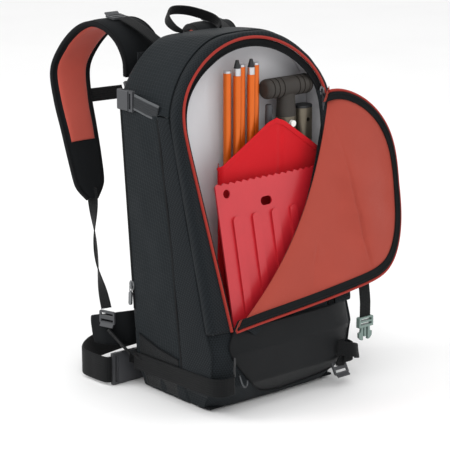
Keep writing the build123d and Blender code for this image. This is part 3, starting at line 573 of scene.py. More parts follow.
def moulded_finish(name, colour, rough=0.5, grain=900.0):
    """Moulded plastic: fine spark grain, faint flow marks and paler worn spots."""
    f = Finish(name, IOR=1.48)
    speck = f.noise(grain, 2.0)
    flow = f.noise(45.0, 4.0)
    f.set("Base Color", f.mix((flow * 0.9 + speck * 0.15).clamp(), shade(colour, 0.85), shade(colour, 1.2)))
    f.set("Roughness", rough + flow * 0.14 - 0.05)
    f.bump(speck * 0.00006 + flow * 0.00008, 0.6)
    return f.material


def blade_finish(name):
    """Red coated blade: satin lacquer with soft orange peel and faint rubbing marks."""
    red = srgb(176, 20, 32)
    f = Finish(name, Coat_Weight=0.35, Coat_Roughness=0.22, IOR=1.5)
    rub = f.noise(320.0, 6.0, 0.7)
    soft = f.noise(16.0, 3.0)
    f.set("Base Color", f.mix((soft * 0.8 + rub * 0.2).clamp(), shade(red, 0.88), srgb(200, 34, 46)))
    f.set("Roughness", 0.36 + rub * 0.14)
    f.bump(rub * 0.00005 + soft * 0.0003, 0.5)
    return f.material


def metal_finish(name, colour, rough=0.34, metallic=1.0):
    """Drawn or turned metal: fine lines along the tube and a little uneven shine."""
    f = Finish(name, Metallic=metallic)
    x, y, z = f.split(f.place())
    drawn = f.node("ShaderNodeCombineXYZ", None, {0: x * 2600.0, 1: y * 2600.0, 2: z * 30.0})
    lines = f.noise(1.0, 4.0, 0.7, vector=drawn)
    patch = f.noise(35.0, 3.0)
    tone = (lines * 0.5 + patch * 0.5).clamp()
    f.set("Base Color", f.mix(tone, shade(colour, 0.85), shade(colour, 1.12)))
    f.set("Roughness", rough + lines * 0.12 + patch * 0.06)
    f.bump(lines * 0.00003, 0.5)
    return f.material


def rubber_finish(name, colour):
    """Moulded grip rubber: matt, finely grained, with dust-pale high spots."""
    f = Finish(name, IOR=1.45)
    grain = f.noise(700.0, 3.0)
    patch = f.noise(40.0, 4.0)
    f.set("Base Color", f.mix((grain * 0.3 + patch * 0.7).clamp(), shade(colour, 0.75), shade(colour, 1.35)))
    f.set("Roughness", 0.62 + grain * 0.12)
    f.bump(grain * 0.0001, 0.6)
    return f.material


def foam_finish(name, colour):
    """Air-mesh over foam: small open holes in a knit."""
    f = Finish(name, Sheen_Weight=0.05, Sheen_Roughness=0.5, Specular_IOR_Level=0.13)
    x, y, z = f.split(f.place())
    hole = (x.wave(0.0042) * z.wave(0.0042)) ** 1.6
    blotch = f.noise(30.0)
    f.set("Base Color", f.mix((hole + blotch * 0.15).clamp(), shade(colour, 1.5), shade(colour, 0.35)))
    f.set("Roughness", 0.88 - blotch * 0.04)
    f.bump((1.0 - hole) * 0.0009, 0.7)
    return f.material


def zip_tape_finish(name):
    """Woven zip tape with the coil's tiny pitch along its run."""
    f = Finish(name, Specular_IOR_Level=0.13)
    across, along, _ = f.split(f.cloth_uv())
    weave = along.wave(0.0012) * across.wave(0.0012)
    f.set("Base Color", f.mix(weave * 0.6 + f.noise(40.0) * 0.4, srgb(8, 9, 10), srgb(26, 28, 30)))
    f.set("Roughness", 0.8 - weave * 0.1)
    f.bump(weave * 0.0003, 0.7)
    return f.material


FINISHES = {}    # finishes made so far, by name


def chosen(name):
    """Colour that the user has set."""
    return tuple(getattr(bpy.context.scene.backpack, name))


def finish(name):
    """Makes a finish once, when a piece first asks for it."""
    if name not in FINISHES:
        FINISHES[name] = FINISH_MAKERS[name]()
    return FINISHES[name]


FINISH_MAKERS = {
    "ripstop": lambda: ripstop_finish("ripstop", chosen("cloth_colour")),
    "honeycomb": lambda: honeycomb_finish("honeycomb", srgb(21, 25, 28)),
    "smooth_nylon": lambda: cloth_finish("smooth_nylon", srgb(13, 15, 17), 0.0007, 0.42, 0.1, 0.1, 0.0003),
    "dark_cloth": lambda: cloth_finish("dark_cloth", srgb(17, 19, 21), 0.0011, 0.8, 0.03),
    "binding": lambda: cloth_finish("binding", srgb(13, 14, 16), 0.001, 0.7, 0.03),
    "coral": lambda: cloth_finish("coral", chosen("coral_colour"), 0.0008, 0.78, 0.25, 0.07, 0.0005),
    "strap_coral": lambda: cloth_finish("strap_coral", srgb(178, 80, 68), 0.0013, 0.85, 0.35, 0.1, 0.0005),
    "piping": lambda: cloth_finish("piping", srgb(150, 46, 38), 0.0009, 0.72, 0.2, 0.12, 0.0002),
    "grey_lining": lambda: cloth_finish("grey_lining", srgb(206, 206, 209), 0.0012, 0.86, 0.15, 0.05, 0.0004),
    "red_cloth": lambda: cloth_finish("red_cloth", chosen("sleeve_colour"), 0.0008, 0.62, 0.2, 0.1, 0.0004),
    "black_webbing": lambda: webbing_finish("black_webbing", srgb(16, 17, 18)),
    "grey_webbing": lambda: webbing_finish("grey_webbing", srgb(44, 46, 48), srgb(88, 90, 92), 0.022),
    "zip_tape": lambda: zip_tape_finish("zip_tape"),
    "black_plastic": lambda: moulded_finish("black_plastic", srgb(22, 23, 25)),
    "grey_plastic": lambda: moulded_finish("grey_plastic", srgb(56, 57, 60)),
    "green_grey_plastic": lambda: moulded_finish("green_grey_plastic", srgb(112, 130, 124), 0.42),
    "white_plastic": lambda: moulded_finish("white_plastic", srgb(232, 232, 228), 0.4),
    "frame_plastic": lambda: moulded_finish("frame_plastic", srgb(60, 62, 64), 0.55),
    "blade": lambda: blade_finish("blade"),
    "shaft_alloy": lambda: metal_finish("shaft_alloy", srgb(112, 105, 92), 0.36, 0.9),
    "probe_orange": lambda: metal_finish("probe_orange", chosen("probe_colour"), 0.24, 0.45),
    "silver": lambda: metal_finish("silver", srgb(205, 205, 208), 0.3),
    "zip_metal": lambda: metal_finish("zip_metal", srgb(120, 122, 124), 0.38, 0.9),
    "grip_rubber": lambda: rubber_finish("grip_rubber", srgb(46, 42, 38)),
    "air_mesh": lambda: foam_finish("air_mesh", srgb(24, 26, 28)),
    "wire": lambda: metal_finish("wire", srgb(84, 86, 88), 0.36),
}

HARDWARE = {
    "shovel_blade": "blade", "shovel_grip": "grip_rubber", "upper_shaft": "shaft_alloy",
    "lower_shaft": "shaft_alloy",
    "shaft_cap": "black_plastic", "push_button": "white_plastic", "probe_tubes": "probe_orange",
    "probe_ferrules": "silver", "probe_tips": "black_plastic", "probe_handle": "grey_plastic",
    "flap_buckle": "green_grey_plastic", "flap_prong_left": "green_grey_plastic",
    "flap_prong_right": "green_grey_plastic",
    "zip_slider": "zip_metal", "zip_pull": "grey_plastic", "back_zip_slider": "zip_metal",
    "upper_side_buckles": "grey_plastic", "lifter_locks": "grey_plastic", "lower_locks": "grey_plastic",
    "sternum_clips": "black_plastic", "sternum_buckle_male": "grey_plastic",
    "sternum_buckle_female": "grey_plastic",
    "sternum_prong_a": "grey_plastic", "sternum_prong_b": "grey_plastic", "hip_buckle_male": "grey_plastic",
    "hip_buckle_female": "grey_plastic", "hip_prong_a": "grey_plastic", "hip_prong_b": "grey_plastic",
    "frame_sheet": "frame_plastic", "wire_hook": "wire",
}


def settle(obj, material, body, slot, *nodes):
    """Gives a piece its finish and body, and the model nodes that it stands for."""
    obj.data.materials.clear()
    obj.data.materials.append(finish(material))
    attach(obj, body)
    if nodes:
        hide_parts(*nodes)
    return obj


# ---- sewn body ---------------------------------------------------------------------------------

def rounded_profile(a, corner, b, radius, counts):
    """Straight run from a to a corner, a quadratic curve round it, and a run on to b, for
    arrays of such points at once."""
    into = a - corner
    out = b - corner
    la = np.linalg.norm(into, axis=1, keepdims=True)
    lb = np.linalg.norm(out, axis=1, keepdims=True)
    p = corner + into * np.minimum(radius / la, 0.6)
    q = corner + out * np.minimum(radius / lb, 0.6)
    n1, n2, n3 = counts
    s = np.linspace(0, 1, n1, endpoint=False)[None, :, None]
    t = np.linspace(0, 1, n2, endpoint=False)[None, :, None]
    w = np.linspace(0, 1, n3)[None, :, None]
    first = a[:, None] * (1 - s) + p[:, None] * s
    bend = (1 - t) ** 2 * p[:, None] + 2 * t * (1 - t) * corner[:, None] + t**2 * q[:, None]
    last = q[:, None] * (1 - w) + b[:, None] * w
    return np.concatenate((first, bend, last), axis=1)


def crown_limit(p):
    """Holds points under the sloping top with a soft minimum."""
    slope = (CROWN_BACK[1] - FRONT_TOP[1]) / (CROWN_BACK[0] - FRONT_TOP[0])
    top = FRONT_TOP[1] + (p[..., 1] - FRONT_TOP[0]) * slope + 1.0
    gap = top - p[..., 2]
    p[..., 2] = top - (gap + np.sqrt(gap * gap + 30.0)) / 2
    return p


def seam_y(z):
    """Depth of the gusset seam: a fixed distance behind the front face or the rounded lower front."""
    return np.where(z > FRONT_FOOT[1], face_y(z) + SEAM_BEHIND_FACE, bulge_y(z) + SEAM_BEHIND_BULGE)


def body_edges(outline):
    """Front edge, gusset seam and back edge of the body for each outline point."""
    x, z = outline[:, 0], outline[:, 1]
    front = np.stack((x, np.where(z > FRONT_FOOT[1], face_y(z), bulge_y(z) + 12.0), z), -1)
    seam = np.stack((x, seam_y(z), z), -1)
    back = np.stack((x, np.minimum(back_y(z), 93.0), z), -1)
    return front, seam, back


def side_outline_points(side, count):
    """Left or right outline from the base up to the shoulder."""
    z = np.linspace(2.0, SHOULDER_Z, count)
    return np.stack((side * half_width(z), z), -1)


def crown_outline_points(count):
    """Outline of the body above the shoulder."""
    points = front_outline(600)
    points = points[points[:, 1] >= SHOULDER_Z - 0.5]
    return resample(points, count)


def taper(z):
    """Share of the wall's bulge that is left near the base."""
    return np.clip((z - 15.0) / 120.0, 0, 1) ** 0.7


def side_push(y, z, bulge):
    """How far a side wall stands out at a depth and height."""
    seam = seam_y(z)
    depth = np.clip((y - seam) / (back_y(z) - EDGE_ROUND - seam), 0, 1)
    return bulge * taper(z) * np.sin(math.pi * 0.894 * depth) ** 0.8


def wall_grid(outline, side_bulge, seed, normals2d):
    """Wall from the gusset seam to the back face: straight in depth, rounded at the back edge,
    pushed out in the middle, with soft creases."""
    _, seam, back = body_edges(outline)
    to_middle = np.stack((-outline[:, 0], (250.0 - outline[:, 1]) * (outline[:, 1] > SHOULDER_Z)), -1)
    to_middle /= np.maximum(np.linalg.norm(to_middle, axis=1, keepdims=True), 1e-6)
    inboard = back + np.stack((to_middle[:, 0] * 14, np.zeros(len(back)), to_middle[:, 1] * 14), -1)
    p = rounded_profile(seam, back, inboard, EDGE_ROUND, (44, 10, 6))
    share = np.linspace(0, 1, p.shape[1])[None, :]
    out = np.stack((normals2d[:, 0], np.zeros(len(outline)), normals2d[:, 1]), -1)[:, None]
    swell = np.sin(math.pi * np.clip(share / 0.82, 0, 1))
    push = side_bulge * taper(p[..., 2]) * swell**0.8
    push = push + ripple(p, 0.9, seed, 0.012) * swell
    return p + out * push[..., None]


def outline_normals(outline):
    """Outward unit normals of an outline: its direction of travel turned a quarter, pointing
    away from the middle."""
    step = np.gradient(outline, axis=0)
    normal = np.stack((-step[:, 1], step[:, 0]), -1)
    normal /= np.linalg.norm(normal, axis=1, keepdims=True)
    middle = np.array((0.0, 200.0))
    flip = np.sign(np.sum(normal * (outline - middle), axis=1, keepdims=True))
    return normal * flip


def seam_groove(where, depth, reach):
    """Pulls a wall in along a seam: depth times a bell curve of the distance from it."""
    return depth * np.exp(-((where / reach) ** 2))


def side_seam_y(z):
    """Depth of the seam between the front and rear halves of a side."""
    return np.interp(z, (69.0, 220.0, 403.0), (-30.0, -21.0, 0.0))


def low_seam_z(y):
    """Height of the top of the tougher lower side panel."""
    return np.interp(y, (-30.0, 19.0, 69.0), (69.0, 73.0, 84.0))


class BuildBody(bpy.types.Operator):
    """Side walls, crown, front border, lower front and base"""
    bl_idname = "backpack.body"
    bl_label = "Sewn body"

    def execute(self, context):
        style = context.scene.backpack
        for side, name in ((-1, "left"), (1, "right")):
            outline = side_outline_points(side, 150)
            normal = np.stack((np.full(len(outline), float(side)), np.zeros(len(outline))), -1)
            p = wall_grid(outline, style.wall_bulge * 1000, 3 + side, normal)
            gap = p[..., 1] - side_seam_y(p[..., 2])
            dent = seam_groove(gap, -1.2, 1.8) + np.where(gap > 0, 0.7, 0.0)
            low = p[..., 2] - low_seam_z(p[..., 1])
            dent += seam_groove(low, -1.0, 1.8) * (gap > -2)
            gather = np.exp(-((gap / 16.0) ** 2)) * np.sin(p[..., 2] / 5.5 + ripple(p, 2.0, 31, 0.01)) * 0.35
            p[..., 0] += side * (dent + gather)
            rear = sheet(f"side_wall_{name}", p, flip=side > 0, thick=2.4)
            settle(rear, "ripstop", "pack", "body_fabric", f"side_panel_{name}")
            self.add_mesh_panel(p, side, name)
        self.crown(style)
        self.border()
        self.lower_front()
        self.base()
        return {"FINISHED"}

    def add_mesh_panel(self, p, side, name):
        """Honeycomb panel laid over the front half of a side, ahead of its seam."""
        z = np.linspace(24.0, SHOULDER_Z - 1, 120)
        outline = np.stack((side * half_width(z), z), -1)
        y0, y1 = seam_y(z) - 1.0, side_seam_y(z)
        s = np.linspace(0, 1, 30)[None, :]
        y = y0[:, None] * (1 - s) + y1[:, None] * s
        grid = lattice(outline[:, :1], y, z[:, None])
        push = side_push(grid[..., 1], grid[..., 2], SIDE_STAND) + 1.1 + 0.8 * np.sin(math.pi * s) ** 0.5
        grid = grid + np.array((side, 0.0, 0.0)) * (push + ripple(grid, 0.5, 40 + side, 0.012))[..., None]
        panel = sheet(f"side_mesh_{name}", grid, flip=side > 0, thick=1.2)
        settle(panel, "honeycomb", "pack", "body_fabric")
        self.foot(side, name)
        path = np.stack((side * (half_width(z) + side_push(side_seam_y(z), z, SIDE_STAND) + 1.0),
                         side_seam_y(z), z), -1)
        seam = carry(f"side_seam_{name}", path[::2], (0, 1, 0), flat_profile(4.0, 1.6))
        settle(seam, "binding", "pack", "body_fabric")

    def foot(self, side, name):
        """Tougher cloth low on a side, from near the base up to a seam that rises to the back."""
        y = np.linspace(0, 1, 40)[None, :] * (np.ones((40, 1)) * 88) - 24.0
        top = np.interp(y[0], (-24.0, 19.0, 64.0), (66.0, 71.0, 82.0))
        height = 5.0 + (top[None, :] - 5.0) * np.linspace(0, 1, 40)[:, None]
        proud = side_push(y, height, SIDE_STAND) + 1.0
        low = np.stack((side * (half_width(height) + proud), y, height), -1)
        settle(sheet(f"side_foot_{name}", low, flip=side > 0, thick=1.2), "smooth_nylon", "pack", "dark_fabric")
        rim = low[-1] + np.array((side * 0.5, 0, 0))
        edge = carry(f"side_foot_edge_{name}", rim, (0, 0, 1), round_profile(1.0, 8))
        settle(edge, "binding", "pack", "dark_fabric")

    def crown(self, style):
        """Top of the body: the side wall's section carried round the crown's outline."""
        outline = crown_outline_points(170)
        p = wall_grid(outline, style.wall_bulge * 600, 9, outline_normals(outline))
        p = crown_limit(p)
        settle(sheet("crown", p, flip=True, thick=2.4), "ripstop", "pack", "body_fabric", "crown_panel")

    def border(self):
        """Band between the zip and the gusset seam, rounded over the body's front edge."""
        arch = arch_curve(260, 2.0)
        edge = front_outline(260)
        front, seam, _ = body_edges(edge)
        start = on_face(arch[:, 0], arch[:, 1], 0.0)
        p = rounded_profile(start, front, seam, 9.0, (16, 10, 10))
        p = crown_limit(p)
        share = np.linspace(0, 1, p.shape[1])[None, :]
        swell = np.sin(math.pi * share)
        p = p + grid_normals(p) * (swell**0.7 * 1.6 + ripple(p, 0.4, 12, 0.02) * swell)[..., None]
        obj = sheet("front_border", p, flip=False, thick=2.2)
        settle(obj, "honeycomb", "pack", "body_fabric", "front_frame")

    def lower_front(self):
        """Rounded lower front: depth from the bulge's profile plus a seventh power of the distance
        across, which turns the edges back, and the smooth panel sewn on it."""
        z = np.linspace(3.0, 119.0, 60)
        s = np.linspace(-1.05, 1.05, 126)[None, :]
        turned = np.clip(np.abs(s) - 1.0, 0, 1) / 0.05
        s = np.clip(s, -1, 1)
        w = half_width(z)[:, None] - 0.3 - 1.2 * turned
        x = w * s
        round_off = 14.0 * np.abs(s) ** 7 + 9.0 * turned
        y = bulge_y(z)[:, None] + round_off - 1.2 * np.cos(s * math.pi / 2)
        grid = lattice(x, y, z[:, None])
        grid[..., 1] += ripple(grid, 0.7, 17, 0.014)
        side = sheet("lower_front", grid, flip=True, thick=2.4)
        settle(side, "honeycomb", "pack", "dark_fabric", "lower_front_panel")
        n = 90
        low = smooth_path(LOWER_PANEL_EDGE, n)
        cap = np.stack((np.linspace(-93, 120, n), np.full(n, 118.5)), -1)
        r = np.linspace(0, 1, 40)[:, None, None]
        flat = low[None] * (1 - r) + cap[None] * r
        px, pz = flat[..., 0], flat[..., 1]
        share = np.abs(px) / half_width(pz)
        py = bulge_y(pz) + 14.0 * share**7 - 1.2 * np.cos(np.clip(share, 0, 1) * math.pi / 2) - 1.7
        grid = np.stack((px, py, pz), -1)
        grid[..., 1] += ripple(grid, 0.6, 18, 0.013) * 0.5
        settle(sheet("lower_panel", grid, flip=True, thick=1.4), "smooth_nylon", "pack", "dark_fabric")
        rim = grid[0] + np.array((0, -0.6, 0))
        settle(carry("lower_panel_edge", rim, (0, 1, 0), round_profile(1.1, 8)), "binding", "pack",
               "dark_fabric")

    def base(self):
        """Base, whose edges turn up by an eighth power, and the sheet behind the lumbar pad."""
        y = np.linspace(BULGE[0, 0] - 1, 64.0, 60)
        x = np.linspace(-1, 1, 60)[None, :]
        flat_x = BASE_HALF * x * np.ones((60, 1))
        z = 0.6 + 2.4 * np.maximum(np.abs(x), np.abs((y[:, None] + 3) / 67)) ** 8
        grid = lattice(flat_x, y[:, None], z)
        bottom = sheet("base_sheet", grid, flip=True, thick=-3.0)
        z = np.linspace(3.0, 114.0, 50)
        w = half_width(z)[:, None] - 6
        y = np.where(z > WAIST_Z, back_y(z), 62 + (z / WAIST_Z) * 17)[:, None] * np.ones((1, 60))
        grid = lattice(w * x, y - 0.6, z[:, None])
        rear = sheet("lumbar_sheet", grid, flip=False, thick=2.2)
        settle(join("base_cloth", [bottom, rear]), "dark_cloth", "pack", "dark_fabric", "base_panel")


# ---- front zip, folded panel -------------------------------------------------------------------

def fold_frame():
    """Directions along the crease and to its right, and its length."""
    along = (FOLD_B - FOLD_A) / np.linalg.norm(FOLD_B - FOLD_A)
    return along, np.array((along[1], -along[0])), float(np.linalg.norm(FOLD_B - FOLD_A))


def fold_bow(share):
    """How far the soft fold stands off the straight crease, largest above the middle."""
    return FOLD_BOW * np.sin(math.pi * np.clip(share, 0, 1)) ** 0.85


def fold_curve(count):
    """The fold in crease coordinates: run along the crease, and distance to its right."""
    _, _, length = fold_frame()
    share = np.linspace(0.0, 1.0, count)
    return np.stack((share * length, fold_bow(share)), -1)


def droop(s, c):
    """Fall of the soft panel in its own plane: it grows with the distance from the fold and is
    greatest along the lower edge, which has nothing under it."""
    _, _, length = fold_frame()
    reach = np.clip(c / 250.0, 0, 1.3)
    low = np.clip(1.0 - np.clip(s, 0, None) / length, 0, 1)
    return PANEL_FALL * reach**1.25 * (0.3 + 0.7 * low), PANEL_LEAN * reach**3


def open_point(s, c, h):
    """Point of the folded panel from its run, distance right of the crease, and closed height."""
    along, right, _ = fold_frame()
    reach = c * math.cos(FOLD_SWING) + (h - FOLD_LIFT) * math.sin(FOLD_SWING)
    height = FOLD_LIFT + c * math.sin(FOLD_SWING) - (h - FOLD_LIFT) * math.cos(FOLD_SWING)
    u = FOLD_A[0] + s * along[0] + reach * right[0]
    v = FOLD_A[1] + s * along[1] + reach * right[1]
    fall, back = droop(s, c)
    pulled = np.exp(-(((v - 175.0) / 85.0) ** 2)) * np.clip((c - 60.0) / 120.0, 0, 1)
    u = u - PANEL_PULL * pulled
    return on_face(u - 0.9 * back, v - fall, height - 0.55 * back)


def panel_edge(count, inset=0.0):
    """Free edge of the folded panel: the opening's outline mirrored over the crease."""
    arch = arch_curve(900, -inset)
    along, right, _ = fold_frame()
    rel = arch - FOLD_A
    s, c = rel @ along, -(rel @ right)
    keep = (c > 0.5) & (s > -40)
    last = np.argmax(np.where(keep, np.arange(len(arch)), -1))
    pts = np.stack((s[:last + 1], np.maximum(c[:last + 1], 0)), -1)
    return resample(pts, count)


class BuildFrontPanel(bpy.types.Operator):
    """Zip tape and piping round the opening, and the folded panel with its lining"""
    bl_idname = "backpack.front_panel"
    bl_label = "Front zip and folded panel"

    def execute(self, context):
        self.body_zip()
        self.still_zipped()
        self.folded_panel()
        return {"FINISHED"}

    def body_zip(self):
        """Half of the zip on the body: tape and coil inside the opening's outline, wider on its
        right, and piping just outside it."""
        n = 300
        outer = arch_curve(n, 0.4)
        share = np.linspace(0, 1, n)[:, None]
        wide = np.clip((share - 0.30) / 0.12, 0, 1)
        inner = arch_curve(n, -3.0) * (1 - wide) + arch_curve(n, -9.5) * wide
        r = np.linspace(0, 1, 6)[None, :, None]
        flat = outer[:, None] * (1 - r) + inner[:, None] * r
        grid = on_face(flat[..., 0], flat[..., 1], -1.0 - 1.2 * np.linspace(0, 1, 6)[None, :])
        tape = sheet("body_zip_tape", grid, flip=True, thick=1.0)
        chain_path = arch_curve(n, -2.6) * (1 - wide) + arch_curve(n, -9.0) * wide
        chain_path = on_face(chain_path[:, 0], chain_path[:, 1], -1.6)
        chain = carry("body_zip_coil", chain_path, self.outward(), round_profile(1.5, 8))
        settle(join("body_zip", [tape, chain]), "zip_tape", "pack", "zip_tape", "front_zip")
        pipe = arch_curve(n, 2.0)[: int(n * 0.955)]
        pipe = carry("body_piping", on_face(pipe[:, 0], pipe[:, 1], 1.4), self.outward(), round_profile(2.1,
                12))
        settle(pipe, "piping", "pack", "piping_red")

    @staticmethod
    def outward():
        """Normal of the front face."""
        return np.array((0.0, -math.cos(LEAN), math.sin(LEAN)))

    def sag(self, s, c):
        """Soft shape of the folded cloth, in millimetres off the flat panel: broad crossed waves, a
        step and crease along the dart, a short tuck and puckers beside both, growing from the fold.
        Dips stay shallower than the room above the body, and the cloth lies flatter over the grip."""
        _, _, length = fold_frame()
        wave = 4.4 * np.sin(c / 29.0 + s / 60.0) + 3.4 * np.sin(s / 24.0 + c / 50.0)
        wave += 1.1 * np.sin(s / 9.0 - c / 17.0)
        dart = ((s - 328.0) * 157.0 + (c - 31.0) * 140.0) / 210.0
        wave += 3.6 * np.tanh(dart / 12.0) - 2.6 * np.exp(-((dart / 2.0) ** 2))
        tuck = ((s - 180.0) * 20.0 + (c - 68.0) * 64.0) / 67.0
        wave -= 2.4 * np.exp(-((tuck / 2.2) ** 2)) * np.exp(-(((s - 145.0) / 32.0) ** 4))
        pucker = 0.9 * np.sin(s / 6.0) * np.exp(-((tuck / 16.0) ** 2))
        pucker += 0.5 * np.sin((s - c) / 5.0) * np.exp(-((dart / 9.0) ** 2))
        lift = np.clip((c - fold_bow(s / length)) / 55.0, 0, 1)
        shape = (wave + pucker) * lift
        room = 0.3 + 0.045 * np.clip(c, 0, None)
        shape = np.where(shape < 0, -room * np.tanh(-shape / room), shape)
        over_grip = np.clip((s - 255.0) / 60.0, 0, 1) * np.clip((150.0 - c) / 60.0, 0, 1)
        return shape * (1.0 - 0.7 * over_grip)

    def folded_panel(self):
        """Lining and outer cloth of the folded panel: rows blend from the fold to the free edge, and
        the height rounds over at the fold."""
        n, m = 220, 90
        fold = fold_curve(n)
        edge = panel_edge(n, 11.0)
        r = np.linspace(0, 1, m)[None, :]
        s = fold[:, :1] * (1 - r) + edge[:, :1] * r
        c = fold[:, 1:] * (1 - r) + edge[:, 1:] * r
        d = c - fold[:, 1:]
        round_over = 5.0 * np.exp(-np.clip(d, 0, None) / 7.0)
        held = np.sin(math.pi * np.linspace(0.02, 1, n))[:, None] ** 0.5
        height = 2.6 - self.sag(s, c) * held * (1 - r**8) + round_over
        front = open_point(s, c, height - 1.4)
        tucked = 3.5 * (1 - r) ** 8
        rear = open_point(s, c + tucked, height + 1.6 + 1.6 * (1 - r) ** 3)
        lining = sheet("folded_lining", front, flip=True, thick=1.2)
        settle(lining, "coral", "flap", "coral_fabric", "flap_panel")
        outer = sheet("folded_outer", rear, flip=False, thick=1.2)
        settle(outer, "honeycomb", "flap", "body_fabric")
        for cloth in (lining, outer):
            round(cloth_area(cloth), 4)
        self.panel_trim(n)

    def panel_trim(self, n):
        """Zip tape, coil and piping along the folded panel's free edge, each a fixed distance in."""
        outer, inner = panel_edge(n, 1.5), panel_edge(n, 12.0)
        r = np.linspace(0, 1, 6)[None, :]
        s = outer[:, :1] * (1 - r) + inner[:, :1] * r
        c = outer[:, 1:] * (1 - r) + inner[:, 1:] * r
        height = np.full_like(s, 2.0)
        tape = sheet("panel_zip_tape", open_point(s, c, height - 1.6), flip=True, thick=1.2)
        mid = panel_edge(n, 4.0)
        mid = open_point(mid[:, 0], mid[:, 1], np.full(n, 0.0))
        coil = carry("panel_zip_coil", mid, self.outward(), round_profile(1.5, 8))
        settle(join("panel_zip", [tape, coil]), "zip_tape", "flap", "zip_tape", "flap_zip")
        rim = panel_edge(n, -0.5)
        rim = open_point(rim[:, 0], rim[:, 1], np.full(n, 2.6))
        settle(carry("panel_piping", rim, self.outward(), round_profile(2.3, 12)), "piping", "flap",
               "piping_red")

    def still_zipped(self):
        """Lower right part of the panel, still zipped: rows blend from just under the fold to the
        opening's foot and right side, with a slight rise between them."""
        n, m = 160, 40
        along, right, _ = fold_frame()
        fold = fold_curve(n)
        share = np.linspace(0, 1, n)[:, None]
        hidden = 9.0 * np.clip((0.86 - share) / 0.3, 0, 1) * np.clip(share / 0.06, 0, 1)
        start = FOLD_A + fold[:, :1] * along + (fold[:, 1:] + hidden) * right
        arch = arch_curve(900, -12.0)
        tail = arch[int(np.argmin(np.linalg.norm(arch - FOLD_B, axis=1))):]
        path = resample(np.vstack(([[-90.0, 1.0]], [[78.0, 1.0]], tail[::-1])), n)
        r = np.linspace(0, 1, m)[None, :, None]
        flat = start[:, None] * (1 - r) + path[:, None] * r
        bulge = 1.2 * np.sin(math.pi * np.linspace(0, 1, m))[None, :]
        grid = on_face(flat[..., 0], flat[..., 1], -1.0 + bulge)
        cloth = sheet("zipped_cloth", grid, flip=True, thick=1.6)
        settle(cloth, "honeycomb", "pack", "dark_fabric", "zipped_panel")
        self.fold_gusset()

    def fold_gusset(self):
        """Strip tucked under the fold. Its near row lies on the folded panel and its far row on
        the body."""
        n = 80
        share = np.linspace(0.03, 0.97, n)
        along, right, length = fold_frame()
        near = open_point(share * length, fold_bow(share) + 3.0, np.full(n, 5.4))
        far_c = np.clip(198.0 - 0.5637 * share * length, 3.5, 56.0)
        flat = FOLD_A + (share * length)[:, None] * along + far_c[:, None] * right
        far = on_face(flat[:, 0], flat[:, 1], np.full(n, 1.6))
        grid = np.stack((near, far), 1)
        obj = sheet("fold_gusset", grid, flip=False)
        obj.data.materials.append(finish("honeycomb"))
        u, v = FOLD_A + 0.5 * length * along + 40.0 * right
        for height in (2.4, 6.0):
            tuple(float(k) * MM for k in on_face(u, v, height))
        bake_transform(obj)


# ---- inside ------------------------------------------------------------------------------------

